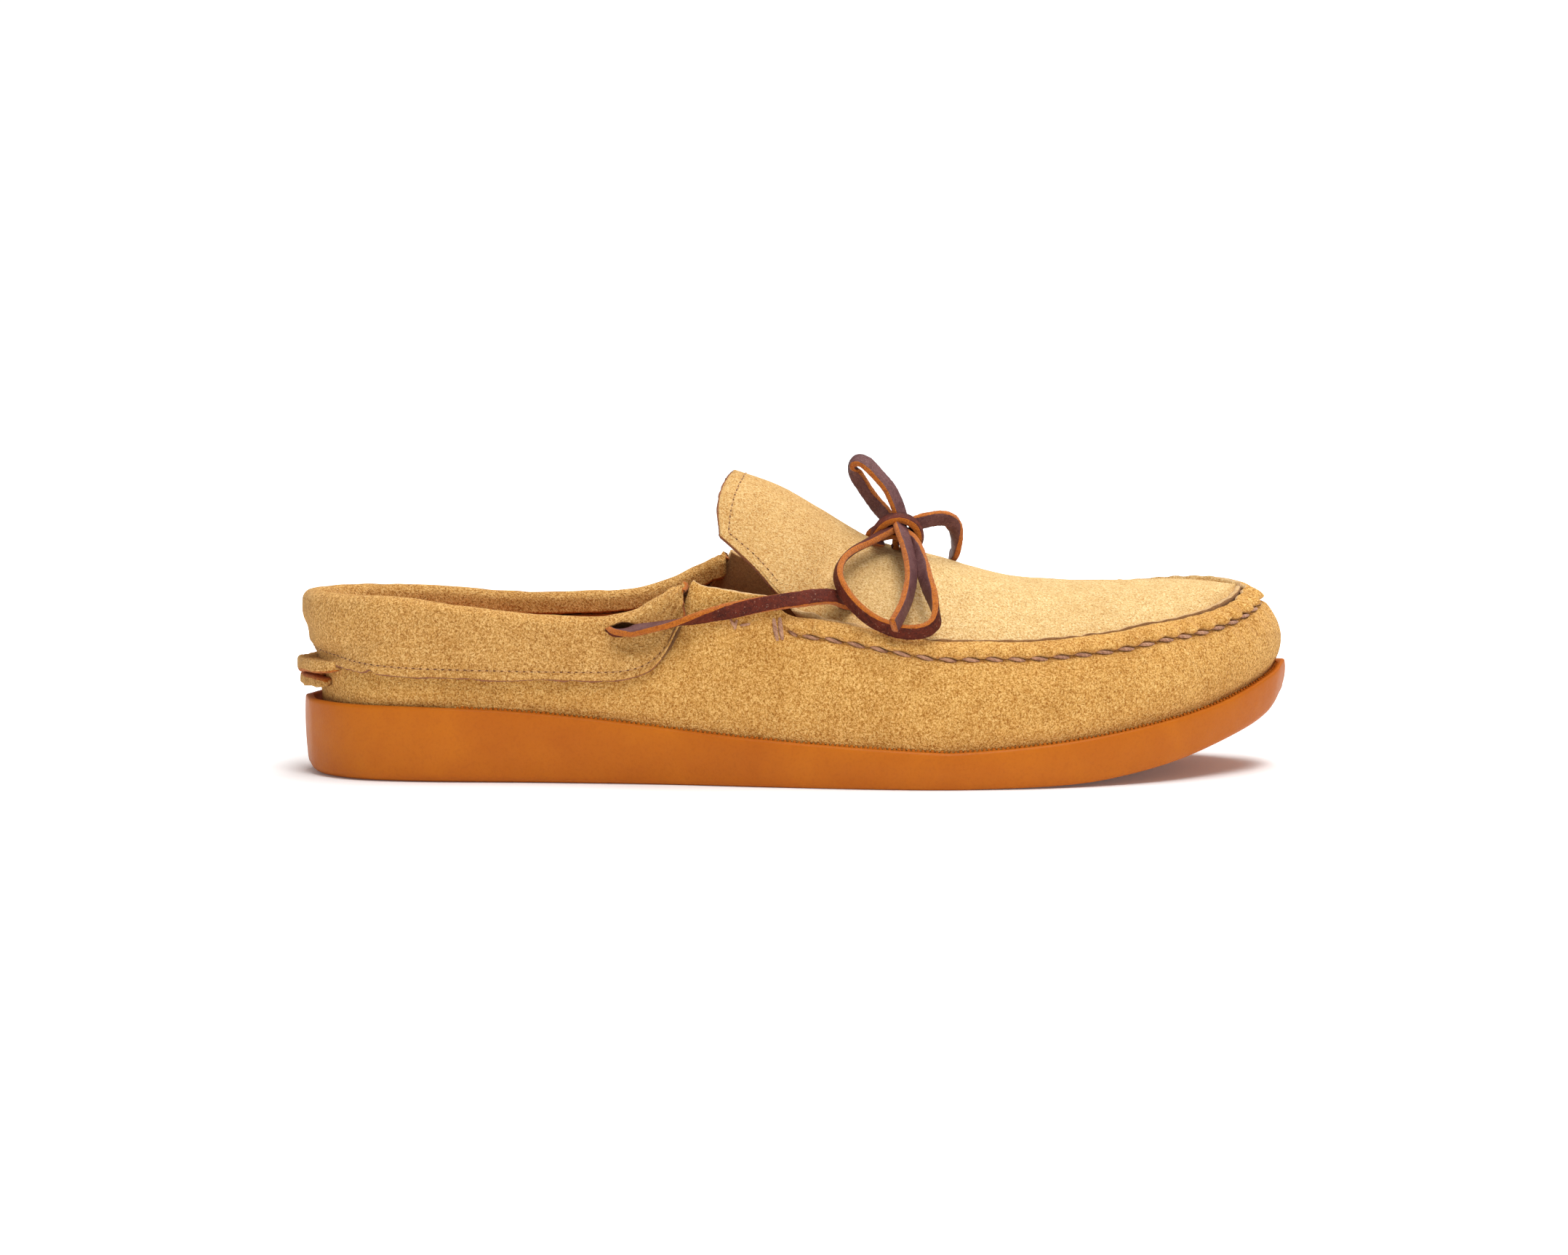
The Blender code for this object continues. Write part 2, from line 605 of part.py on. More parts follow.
def heel_tab(name, low, high, reach, half_width):
    """One of the two leather layers that stand out behind the heel's seam."""
    rows = []
    for a in np.linspace(-1, 1, 9):
        fade = math.cos(a * math.pi / 2 * 0.999) ** 0.6
        u = (a * half_width) % 1.0
        n, base = outward(u), wall_at_height(u, (low + high) / 2)[:2]
        inner, outer = base + n * 0.5, base + n * (0.9 + reach * fade)
        rows.append([(*inner, low), (*outer, low - 0.3), (*outer, high - 0.3), (*inner, high)])
    count = 4
    faces = ring_faces(len(rows), count) + [tuple(range(count))]
    faces += [tuple((len(rows) - 1) * count + i for i in range(count))]
    place(mesh_object(name, np.vstack(rows), faces), SUEDE_TAN)


def heel_tabs():
    heel_tab("heel_tab_upper", 29.4, 33.0, 5.6, 0.021)
    heel_tab("heel_tab_lower", 25.9, 28.9, 4.8, 0.018)


def heel_lining():
    """The leather lining inside the heel, from the footbed to the collar."""
    a, b = u_at_x(LINING_END_X), u_at_x(LINING_END_X, medial=True)
    rows = []
    for u in [v % 1.0 for v in np.linspace(a, b - 1, 27)]:
        n = outward(u)
        base = platform(sole_x(u)) + 2 * GAP + SUEDE + FOAM + GAP + SOCK + GAP
        crest, _, back = collar_crest(u)
        top = crest[2] - collar_depth(back) - 1.0
        row = []
        for z in np.linspace(float(base) + 0.4, top, 4):
            p = wall_at_height(u, z)
            row.append((*(p[:2] - n * (SUEDE + 0.9)), z))
        rows.append(row)
    obj = grid_sheet("heel_lining", rows, LINING, away_from_foot)
    place(obj, LEATHER_ORANGE)


# --- threads ------------------------------------------------------------------------------------
def seam_point(u, out):
    """A point outside the hand-sewn seam, below the ridge's top."""
    length = np.linalg.norm(wall(u, 1.0) - wall(u, 0.0))
    return wall(u, 1 - RIDGE_HEIGHT / length) + np.array([*(outward(u) * out), 0])


def threads():
    start, end = u_at_x(SEAM_START_X), u_at_x(SEAM_START_X, medial=True)
    seam = [seam_point(u, MOC_THREAD_RADIUS + 0.75) for u in np.linspace(start, end, 40)]
    tube("moc_seam_thread", seam, MOC_THREAD_RADIUS, 56, THREAD_MAUVE, sides=1)
    for side, medial in (("lateral", False), ("medial", True)):
        u = u_at_x(SEAM_START_X - 2.2, medial)
        n = np.array([*outward(u), 0])
        top = float(at(TOP_LINE, u)[2])
        stitch = [wall_at_height(u, z) + n * 1.35 for z in np.linspace(top - 9.0, top - 1.5, 4)]
        tube(f"tack_{side}", stitch, 0.6, 5, THREAD_MAUVE, sides=1)
    stitches = []
    ends = u_at_x(COLLAR_END_X - 7.0), u_at_x(COLLAR_END_X + MEDIAL_LEAD - 7.0, medial=True) - 1
    for u in [v % 1.0 for v in np.linspace(*ends, 41)]:
        section = collar_section(u)
        edge = section[0] + (section[1] - section[0]) / max(
            np.linalg.norm(section[1] - section[0]), 0.1) * 2.4
        stitches.append(edge + np.array([*outward(u), 0]) * (FINE_THREAD_RADIUS + 0.45))
    tube("collar_thread", stitches, FINE_THREAD_RADIUS, 70, THREAD_TAN, sides=1)


def tongue_thread():
    """The stitched row inside the tongue's side and end edges."""
    rows = tongue_rows(25)
    route = [r[3] for r in rows[:-1]] + [rows[-2][i] for i in range(6, 19, 3)]
    route += [r[-4] for r in rows[-2::-1]]
    outs = [np.array([0, p[1] / 22.0, 1.0]) for p in route]
    line = [p + n / np.linalg.norm(n) * (FINE_THREAD_RADIUS + 0.6) for p, n in zip(route, outs)]
    obj = as_mesh(tube("tongue_thread", line, FINE_THREAD_RADIUS, 40, sides=1))
    obj.name = "tongue_thread"
    move_origin(place(obj, THREAD_TAN), HINGE)


# --- the lace -----------------------------------------------------------------------------------
def from_knot(direction, gap=0.5):
    """A point just outside the knot in that direction, and one a little further out."""
    d = np.array(direction, float)
    c, r = np.array(KNOT_CENTRE), np.array(KNOT_RADII)
    surface = c + d / np.linalg.norm(d / r)
    n = (surface - c) / r**2
    n /= np.linalg.norm(n)
    return [tuple(surface + n * gap), tuple(surface + n * (gap + 1.8))]


def bow():
    bm = bmesh.new()
    bmesh.ops.create_uvsphere(bm, u_segments=14, v_segments=9, radius=1.0)
    mesh = bpy.data.meshes.new("bow_knot")
    bm.to_mesh(mesh)
    bm.free()
    for v in mesh.vertices:
        v.co = [a * r * MM for a, r in zip(v.co, KNOT_RADII)]
    mesh.shade_smooth()
    knot = place(bpy.data.objects.new("bow_knot", mesh), LACE_BROWN)
    knot.location = Vector(KNOT_CENTRE) * MM
    loop = from_knot((-0.62, -0.72, -0.1)) + NEAR_LOOP + from_knot((0.62, -0.68, -0.35))[::-1]
    tube("bow_loop_near", loop, LACE_RADIUS, 34, LACE_BROWN)
    loop = from_knot((-0.45, 0.34, 0.72)) + FAR_LOOP + from_knot((0.12, 0.0, 0.95))[::-1]
    tube("bow_loop_far", loop, LACE_RADIUS, 20, LACE_BROWN)
    tube("lace_tail_near", from_knot((0.05, -0.8, -0.4)) + NEAR_TAIL, LACE_RADIUS, 14, LACE_BROWN)
    tube("lace_tail_far", from_knot((0.95, 0.25, 0.2)) + FAR_TAIL, LACE_RADIUS, 12, LACE_BROWN)


def lace_runs():
    end = from_knot((-0.85, -0.3, 0.12))[::-1]
    tube("lace_side_lateral", LATERAL_RUN + end, LACE_RADIUS, 52, LACE_BROWN)
    end = from_knot((-0.75, 0.45, 0.12))[::-1]
    tube("lace_side_medial", MEDIAL_RUN + end, LACE_RADIUS, 52, LACE_BROWN)
    stations = [u % 1.0 for u in np.linspace(u_at_x(-60), u_at_x(-60, medial=True) - 1, 31)]
    route = []
    for u in stations:
        crest = collar_crest(u)[0]
        route.append((crest[0], crest[1], crest[2] - ROLL_RADIUS - 0.2))
    tube("lace_collar_run", route, LACE_RADIUS, 40, LACE_BROWN)


clear_scene()
parts = new_collection(SHOE_NAME)
cutters = new_collection("cutters")
root = bpy.data.objects.new("shoe_origin", None)
root.location = (-ORIGIN_X * MM, -ORIGIN_Y * MM, 0)
bpy.context.scene.collection.objects.link(root)

outsole()
footbed()
vamp()
apron()
tongue()
collar()
heel_tabs()
heel_lining()
threads()
tongue_thread()
bow()
lace_runs()
bpy.context.view_layer.update()
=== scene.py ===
"""A suede camp moccasin, one right shoe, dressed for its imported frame.

Lengths in the shape functions are in millimetres: +X points to the toe, +Y to the medial side and
+Z up. The frame's own metres come in once, in row().
"""
import math

import bpy
import numpy as np
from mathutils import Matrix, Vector


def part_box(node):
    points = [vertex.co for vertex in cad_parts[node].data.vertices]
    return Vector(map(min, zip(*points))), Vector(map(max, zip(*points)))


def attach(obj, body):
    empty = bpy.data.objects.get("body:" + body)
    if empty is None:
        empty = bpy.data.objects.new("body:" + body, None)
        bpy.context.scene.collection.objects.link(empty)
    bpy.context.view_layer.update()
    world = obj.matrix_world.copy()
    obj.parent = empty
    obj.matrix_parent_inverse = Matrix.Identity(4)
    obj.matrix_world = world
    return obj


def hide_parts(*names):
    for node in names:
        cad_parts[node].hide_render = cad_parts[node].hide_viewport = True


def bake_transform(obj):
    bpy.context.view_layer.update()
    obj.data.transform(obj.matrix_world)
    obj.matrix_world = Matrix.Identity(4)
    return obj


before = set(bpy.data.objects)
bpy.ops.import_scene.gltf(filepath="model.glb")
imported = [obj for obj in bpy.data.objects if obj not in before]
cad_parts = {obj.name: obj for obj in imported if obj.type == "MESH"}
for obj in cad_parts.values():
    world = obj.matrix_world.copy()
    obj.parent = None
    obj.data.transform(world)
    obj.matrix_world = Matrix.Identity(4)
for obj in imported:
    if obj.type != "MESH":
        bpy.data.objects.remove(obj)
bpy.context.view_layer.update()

# --- driving dimensions, in millimetres ---------------------------------------------------------
SUEDE = 1.8
COLLAR_SUEDE = 1.4
GAP = 0.35
RIM_WIDTH = 2.2
RIM_HEIGHT = 3.0
FOAM = 4.0
SOCK = 1.2
ROLL_RADIUS = 3.3
HEEL_OVERHANG = 3.5
LACE_WIDTH = 4.5
LACE_THICKNESS = 2.1
STITCH_PITCH = 6.4  # along the hand-sewn seam
COLLAR_PITCH = 2.1  # along the machine-sewn rows
TONGUE_PITCH = 2.2
TOOTH_PITCH = 1.35  # along the sole's serrated rim
COLLAR_END_X = -31.0  # on the lateral side
MEDIAL_LEAD = 9.6  # how much further forward the collar ends on the medial side
LINING_END_X = -41.0
THROAT_X = 0.0
CROWN_LEAD = 9.0
TOE_END = 0.497
TONGUE_BOW = 2.4
SEAM_START_X = -2.4

LATERAL_EDGE = [
    (-143.2, 0), (-138.6, -17.0), (-126, -29.5), (-106, -34.8), (-75, -36.3), (-40, -39.8),
    (-5, -46.5), (25, -51.4), (47, -52), (75, -47.5), (103, -36.5), (125, -20.5), (139.2, -4.5),
    (144.6, 9),
]
MEDIAL_EDGE = [
    (-143.2, 0), (-138.6, 17.0), (-126, 28.8), (-106, 33), (-80, 31.8), (-50, 32.3), (-15, 37.8),
    (20, 46), (52, 51), (85, 48.8), (115, 40.8), (133.5, 30.5), (142.3, 20), (144.6, 9),
]
RIM_TOP = [
    (-143, 22.0), (-97, 21.2), (-64, 19.1), (-15, 13.9), (33, 10.8), (50, 10.7), (83, 13.8),
    (117, 20.2), (137, 27.5), (144, 31.5),
]
TREAD = [(46, 0), (75, 0.7), (91, 2.4), (109, 6.1), (127, 11.8), (137, 16.0), (144, 21.4)]
EDGE_ROUND = [(-143, 3.6), (-64, 1.9), (35, 0.8), (60, 0.8), (91, 1.2), (144, 2.6)]
LATERAL_TOP = [
    (-138.0, 0, 41), (-132.6, -16, 41), (-121, -27.0, 40.5), (-104, -31.4, 39.8),
    (-84, -32.4, 38.6), (-64, -33.4, 38.2), (-48, -34.8, 39.6), (-38.2, -36.0, 44.6),
    (-33, -36.7, 49.0), (-31.2, -36.9, 50.8), (-29.2, -37.0, 57.4), (-26.6, -37.2, 56.0),
    (-21, -37.6, 54.9), (-13, -38.0, 53.9), (-7.5, -38.3, 53.0), (-4, -38.6, 49.4),
    (0.5, -38.9, 47.4), (8, -39.7, 46.6), (21, -41, 44.2), (38, -42, 41.1),
    (52, -41.6, 40.8), (67, -38.8, 40.6), (88, -32.5, 42.2), (100, -27.4, 44.3),
    (113, -19.8, 45.9), (123, -11.4, 48.2), (130, -1, 51.2), (132.6, 8, 53.2),
]
MEDIAL_TOP = [
    (-138.0, 0, 41), (-132.6, 16, 41), (-121, 26.2, 40.6), (-104, 29.8, 40.0), (-84, 29.6, 39.4),
    (-64, 29.8, 40.6), (-48, 31.4, 42.3), (-37, 33.0, 45.2), (-31, 34.0, 47.9), (-27, 34.6, 50.0),
    (-23.4, 35.1, 53.4), (-21.6, 35.3, 55.2), (-19.6, 35.4, 61.6), (-17, 35.7, 60.6),
    (-12, 36.3, 58.4), (-6.5, 37.0, 56.0), (-3, 37.4, 52.6), (1.5, 37.9, 50.8), (8, 38.6, 50.0),
    (21, 39.8, 48.6), (40, 41.2, 48.2), (60, 41.2, 49.0), (80, 39.4, 50.8), (97, 36, 52.6),
    (110, 31.6, 53.8), (121, 25, 54.6), (129, 17, 54.4), (132.6, 8, 53.2),
]
WALL_SWELL = [(-143, 0.6), (-60, 1.6), (0, 2.6), (60, 3.6), (120, 4.8), (144, 5.2)]
COLLAR_LOW = [
    (-143, 34.2), (-132, 33.0), (-116, 30.6), (-90, 29.6), (-58, 29.3), (-46.6, 30.0),
    (-40.3, 32.4), (-35.6, 37.2), (-31.6, 45.0),
]
COLLAR_RISE = [
    (-143, 12.0), (-104, 11.6), (-64, 9.0), (-48, 8.8), (-37, 8.6), (-33, 6.6), (-30, 4.8),
]
CROWN = [
    (9, 75.2), (22.7, 67.4), (33, 64.2), (44, 61.4), (50, 59.4), (59, 56.6), (69, 54.8),
    (85, 53.7), (100, 53.5), (115, 53.7), (128, 53.3), (133, 52.6),
]
TONGUE_CROWN = [(8.2, 0, 75.8), (1.5, 0, 79.9), (-8, 0, 83.9), (-17.6, 0, 87.1)]
TONGUE_LATERAL = [(-3.4, -35, 52.9), (-11, -30.2, 61.2), (-17, -27.2, 66.6), (-21.4, -25, 70.2)]
TONGUE_MEDIAL = [(-3.4, 33.8, 54.4), (-11, 29.2, 61.8), (-17, 26.6, 66.8), (-21.4, 25, 70.2)]

KNOT_CENTRE = (30.0, -6.5, 70.4)
LATERAL_RUN = [
    (-58, -33.3, 43.2), (-54, -34.0, 43.0), (-50.5, -36.6, 42.7), (-45.5, -39.6, 43.6),
    (-37.6, -42.0, 45.2), (-29.8, -42.4, 46.8), (-19.4, -41.8, 49.2), (-9, -41.6, 51.2),
    (1.4, -40.8, 52.6), (7.4, -39.2, 53.2), (11.0, -37.2, 52.8), (13.4, -33.6, 51.0),
    (15.4, -29.6, 49.2), (17.8, -24.6, 49.0), (20.6, -19.6, 51.2), (23.4, -14.6, 54.6),
    (25.6, -9.0, 57.8), (27.6, -4.4, 61.6), (29.2, -2.2, 65.4), (30.4, -3.6, 68.8),
]
MEDIAL_RUN = [
    (-58, 29.6, 46.1), (-54, 30.4, 46.0), (-50.5, 33.8, 45.8), (-45.5, 37.4, 46.6),
    (-37.6, 40.0, 48.2), (-29.8, 41.6, 49.8), (-19.4, 42.0, 52.2), (-9, 41.4, 54.0),
    (1.4, 40.2, 55.2), (10, 38.2, 55.6), (16, 35.0, 55.0), (19.2, 31.0, 54.0),
    (20.8, 26.2, 51.8), (21.4, 21.4, 54.0), (22.0, 16.8, 57.8), (22.4, 13.0, 61.8),
    (22.6, 10.6, 65.6), (22.6, 8.2, 68.4), (23.8, 4.6, 70.0), (26.6, -1.6, 70.4),
]
NEAR_LOOP = [
    (29.6, -8.4, 71.4), (26.4, -12.4, 69.9), (21.8, -17.2, 67.6), (16.3, -23.6, 65.0),
    (12.8, -31.0, 61.8),
    (12.2, -37.8, 57.6), (15.4, -42.2, 52.2), (20.4, -43.8, 47.6), (26.0, -44.6, 44.8),
    (31.7, -45.4, 43.6), (36.6, -45.2, 44.4), (39.3, -43.2, 47.0), (38.8, -38.6, 51.6),
    (37.2, -32.8, 56.4), (36.0, -26.2, 60.8), (34.8, -19.4, 64.6), (33.4, -13.4, 67.6), (32.2, -8.0, 69.6),
]
FAR_LOOP = [
    (28.0, -4.6, 71.6), (26.0, -1.4, 74.6), (23.4, 1.6, 77.6), (20.6, 3.0, 81.5), (18.0, 3.8, 85.6),
    (17.0, 3.0, 88.4), (18.0, 0.8, 90.0), (20.6, -1.6, 89.4), (24.0, -3.6, 86.0),
    (27.6, -5.0, 81.6), (30.2, -6.2, 75.4), (30.6, -6.4, 71.6),
]
NEAR_TAIL = [
    (30.0, -9.6, 72.2), (30.8, -15.4, 69.6), (32.0, -21.6, 65.4), (32.7, -27.9, 61.0),
    (32.4, -34.2, 56.6),
    (31.0, -40.6, 52.2), (29.2, -45.8, 48.8), (27.2, -49.4, 45.8),
]
FAR_TAIL = [
    (33.0, -5.2, 71.4), (37.6, -4.6, 72.8), (42.2, -3.2, 73.4), (45.2, -1.6, 72.6),
    (46.8, 0.4, 70.0), (47.2, 3.0, 66.4), (47.0, 6.6, 63.2), (46.4, 11.4, 61.4),
]


# --- curves and heights, as the frame's solids have them ----------------------------------------
def smooth_line(points, per_span=16):
    """A dense polyline on a Catmull-Rom curve through the points."""
    p = np.array(points, float)
    p = np.vstack([2 * p[0] - p[1], p, 2 * p[-1] - p[-2]])
    t = np.linspace(0, 1, per_span, endpoint=False)[:, None]
    spans = []
    for a, b, c, d in zip(p[:-3], p[1:-2], p[2:-1], p[3:]):
        spans.append(
            0.5 * (2 * b + (c - a) * t + (2 * a - 5 * b + 4 * c - d) * t**2
                   + (3 * b - a - 3 * c + d) * t**3)
        )
    return np.vstack([*spans, p[-2]])


def along(line, fractions, axes=3):
    """Points at these fractions of a polyline's length, measured in its first axes."""
    steps = np.linalg.norm(np.diff(line[:, :axes], axis=0), axis=1)
    travelled = np.concatenate([[0], np.cumsum(steps)])
    wanted = np.asarray(fractions, float) * travelled[-1]
    return np.stack([np.interp(wanted, travelled, line[:, k]) for k in range(line.shape[1])], -1)


def profile(knots):
    line = smooth_line(knots)
    return lambda x: np.interp(x, line[:, 0], line[:, 1])


rim_top = profile(RIM_TOP)
edge_round = profile(EDGE_ROUND)
wall_swell = profile(WALL_SWELL)
collar_low = profile(COLLAR_LOW)
collar_rise = profile(COLLAR_RISE)
crown_height = profile(CROWN)


def tread(x):
    return np.where(np.asarray(x) <= TREAD[0][0], 0.0, np.interp(x, *smooth_line(TREAD).T))


def platform(x):
    return rim_top(x) - RIM_HEIGHT


LAST_POINTS = 401


def two_sides(lateral, medial, axes):
    fractions = np.linspace(0, 1, LAST_POINTS)
    a = along(smooth_line(lateral), fractions, axes)
    b = along(smooth_line(medial), fractions, axes)
    return np.vstack([a, b[-2::-1]])


SOLE_LINE = two_sides(LATERAL_EDGE, MEDIAL_EDGE, 2)
TOP_LINE = two_sides(LATERAL_TOP, MEDIAL_TOP, 2)


def round_tangent(line):
    step = np.roll(line[:-1], -6, 0) - np.roll(line[:-1], 6, 0)
    step = np.vstack([step, step[0]])
    return step / np.linalg.norm(step, axis=1, keepdims=True)


SOLE_TANGENT = round_tangent(SOLE_LINE)
low_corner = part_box("outsole")[0]
OFFSET = np.array([low_corner.x * 1000 - SOLE_LINE[:, 0].min(),
                   low_corner.y * 1000 - SOLE_LINE[:, 1].min(), 0.0])


def row(p):
    """Shoe millimetres to the frame's metres."""
    return (np.asarray(p, float) + OFFSET) * 0.001


def at(line, u):
    """The line's point at u, which runs from 0 at the heel through 0.5 at the toe to 1."""
    spot = (np.asarray(u, float) % 1.0) * (len(line) - 1)
    return np.stack([np.interp(spot, np.arange(len(line)), line[:, k])
                     for k in range(line.shape[1])], -1)


def outward(u):
    t = at(SOLE_TANGENT, u)
    n = np.stack([t[..., 1], -t[..., 0]], -1)
    return n / np.linalg.norm(n, axis=-1, keepdims=True)


def sole_point(u, inset, height, rise=0.0):
    p = at(SOLE_LINE, u) - outward(u) * (np.zeros_like(u) + inset)[..., None]
    z = height(p[..., 0]) + rise
    return np.concatenate([p, z[..., None]], -1)


def sole_x(u):
    return at(SOLE_LINE, u)[..., 0]


def heel_gap(u):
    return 2.0 * np.exp(-(((sole_x(u) + 143.2) / 13.0) ** 2))


def wall(u, t):
    """The upper's outer surface: t is 0 just above the sole's rim and 1 at the vamp's top edge."""
    u, t = np.broadcast_arrays(np.asarray(u, float), np.asarray(t, float))
    foot = sole_point(u, RIM_WIDTH + 0.6 + heel_gap(u), rim_top, 1.0)
    p = foot + (at(TOP_LINE, u) - foot) * t[..., None]
    p[..., :2] += outward(u) * (wall_swell(sole_x(u)) * 4 * t * (1 - t))[..., None]
    return p


def wall_at_height(u, z):
    steps = wall(np.full(25, u), np.linspace(0, 1, 25))
    z = min(max(z, steps[0, 2]), steps[-1, 2])
    return np.array([np.interp(z, steps[:, 2], steps[:, k]) for k in range(3)])


def u_at_x(x, medial=False):
    """The u at which the vamp's top edge passes x on that side."""
    half = LAST_POINTS - 1
    places = np.arange(len(TOP_LINE)) / (2 * half)
    if medial:
        return float(np.interp(x, TOP_LINE[half:, 0][::-1], places[half:][::-1]))
    return float(np.interp(x, TOP_LINE[:half + 1, 0], places[:half + 1]))


def collar_x(u, x):
    """The x to look up in the collar's tables: its medial front end lies further forward."""
    return x - MEDIAL_LEAD * min(max((x + 95.0) / 45.0, 0.0), 1.0) * (u > 0.5)


def collar_depth(back):
    """How far the collar reaches down inside the shoe, more so round the heel."""
    return 6.2 + 6.3 * back


def collar_crest(u):
    top, n = at(TOP_LINE, u), outward(u)
    back = math.exp(-(((top[0] + 138.0) / 12.0) ** 2))
    xy = top[:2] + n * (HEEL_OVERHANG * back - SUEDE / 2)
    return np.array([*xy, top[2] + float(collar_rise(collar_x(u, top[0])))]), n, back


def collar_section(u):
    """The collar's outer face from its lower edge over the roll and down inside the shoe."""
    crest, n, back = collar_crest(u)
    roll_z = crest[2] - ROLL_RADIUS
    low = min(float(collar_low(collar_x(u, crest[0]))), roll_z - 1.0)

    def point(offset, z):
        return np.array([*(crest[:2] + n * offset), z])

    def clear_of_wall(z):
        out = float(np.dot(wall_at_height(u, z)[:2] - crest[:2], n))
        return max(out + GAP + COLLAR_SUEDE + 0.25, 0.0)

    waist, belly = low + 0.3 * (roll_z - low), low + 0.66 * (roll_z - low)
    section = [point(clear_of_wall(low), low), point(clear_of_wall(waist), waist),
               point(max(ROLL_RADIUS - 0.3, clear_of_wall(belly)), belly),
               point(max(ROLL_RADIUS, clear_of_wall(roll_z - 1.5)), roll_z - 0.5)]
    for a in (25, 60, 90, 120, 155):
        angle = math.radians(a)
        section.append(point(ROLL_RADIUS * math.cos(angle), roll_z + ROLL_RADIUS * math.sin(angle)))
    inner = ROLL_RADIUS + (HEEL_OVERHANG - 0.1) * back
    inner_edge = crest[2] - collar_depth(back)
    section += [point(-(ROLL_RADIUS + 0.8 * back), roll_z - 0.5),
                point(-inner, inner_edge + 1.0 + 3.5 * back), point(-inner, inner_edge)]
    return section


def collar_stations(count):
    a, b = u_at_x(COLLAR_END_X), u_at_x(COLLAR_END_X + MEDIAL_LEAD, medial=True)
    return [u % 1.0 for u in np.linspace(a, b - 1, count)]


# --- surfaces -----------------------------------------------------------------------------------
def noise(p, size, seed=0.0):
    """Smooth value noise from -1 to 1 whose lumps are about size apart."""
    q = np.asarray(p, float) / size + seed * 7.31
    cell = np.floor(q)
    f = q - cell
    f = f * f * (3 - 2 * f)

    def corner(dx, dy, dz):
        c = cell + np.array([dx, dy, dz])
        v = np.sin(c @ np.array([127.1, 311.7, 74.7])) * 43758.5453
        return 2 * (v - np.floor(v)) - 1

    total = 0
    for dx in (0, 1):
        for dy in (0, 1):
            for dz in (0, 1):
                w = (f[..., 0] if dx else 1 - f[..., 0]) * (f[..., 1] if dy else 1 - f[..., 1])
                total = total + w * (f[..., 2] if dz else 1 - f[..., 2]) * corner(dx, dy, dz)
    return total


def wave_noise(s, size, seed=0.0):
    """The same along one length."""
    s = np.asarray(s, float)
    return noise(np.stack([s, np.zeros_like(s), np.zeros_like(s)], -1), size, seed)


def bump(x, centre, width):
    return np.exp(-(((np.asarray(x, float) - centre) / width) ** 2))


def step_up(x, low, high):
    t = np.clip((np.asarray(x, float) - low) / (high - low), 0, 1)
    return t * t * (3 - 2 * t)


def grid_normals(grid, closed=False):
    """Unit normals of a grid of points (rows × columns); closed joins the last column to the first."""
    rows = np.gradient(grid, axis=0)
    if closed:
        columns = (np.roll(grid, -1, 1) - np.roll(grid, 1, 1)) / 2
    else:
        columns = np.gradient(grid, axis=1)
    n = np.cross(rows, columns)
    return n / np.maximum(np.linalg.norm(n, axis=-1, keepdims=True), 1e-9)


def facing(grid, side, closed=False):
    """Grid normals turned to the side that side(points) points to."""
    n = grid_normals(grid, closed)
    return n if np.sum(n * side(grid)) > 0 else -n


def mesh_piece(name, points, faces, looks, slots=None, smooth=True):
    """A mesh object from points in shoe millimetres; slots gives each face's material."""
    mesh = bpy.data.meshes.new(name)
    mesh.from_pydata(row(points).tolist(), [], faces)
    mesh.update()
    for m in looks:
        mesh.materials.append(m)
    if slots is not None:
        mesh.polygons.foreach_set("material_index", np.asarray(slots, np.int32))
    if smooth:
        mesh.shade_smooth()
    obj = bpy.data.objects.new(name, mesh)
    bpy.context.scene.collection.objects.link(obj)
    return obj


def leather(name, outer, side, thickness, looks, closed=False, fray=0.12, flat_rows=()):
    """A closed leather sheet behind a grid of outer points.

    looks are its outer face, its inner face and its raw cut edges. The edges are rounded and a
    little frayed. closed joins the last column to the first. In flat_rows the side edges keep the
    direction of the surface beside them.
    """
    n = facing(outer, side, closed)
    for k in flat_rows:
        n[k, :5], n[k, -5:] = n[k, 5], n[k, -6]
    thickness = np.zeros(outer.shape[:2]) + thickness
    inner = outer - n * thickness[..., None]
    count = outer.shape[1]

    def edge_row(k, inside):
        middle = (outer[k] + inner[k]) / 2
        away = outer[k] - outer[inside]
        away /= np.maximum(np.linalg.norm(away, axis=-1, keepdims=True), 1e-9)
        frayed = thickness[k] * 0.32 + fray * noise(middle, 0.9, 3.0) + fray * noise(middle, 3.1, 4.0)
        return middle + away * frayed[:, None]

    loop = np.concatenate([outer, edge_row(-1, -2)[None], inner[::-1], edge_row(0, 1)[None]])
    height = len(outer)
    ring = len(loop)
    faces, slots = [], []
    for i in range(ring):
        j = (i + 1) % ring
        slot = 0 if j < height and i < height else 1 if height < i and j < ring - 1 and j else 2
        for c in range(count if closed else count - 1):
            d = (c + 1) % count
            faces.append((i * count + c, i * count + d, j * count + d, j * count + c))
            slots.append(slot)
    if not closed:
        for c in (0, count - 1):
            for i in range(height - 1):
                a, b = i, i + 1
                far_a, far_b = ring - 2 - i, ring - 3 - i
                quad = (a * count + c, b * count + c, far_b * count + c, far_a * count + c)
                faces.append(quad if c == 0 else quad[::-1])
                slots.append(2)
            top = ((height - 1) * count + c, height * count + c, (height + 1) * count + c)
            low = (c, (ring - 2) * count + c, (ring - 1) * count + c)
            faces += [top, low] if c == 0 else [top[::-1], low[::-1]]
            slots += [2, 2]
    obj = mesh_piece(name, loop.reshape(-1, 3), faces, looks, slots)
    turn_out(obj)
    return obj


def turn_out(obj):
    import bmesh
    bm = bmesh.new()
    bm.from_mesh(obj.data)
    bmesh.ops.recalc_face_normals(bm, faces=bm.faces)
    bm.to_mesh(obj.data)
    bm.free()


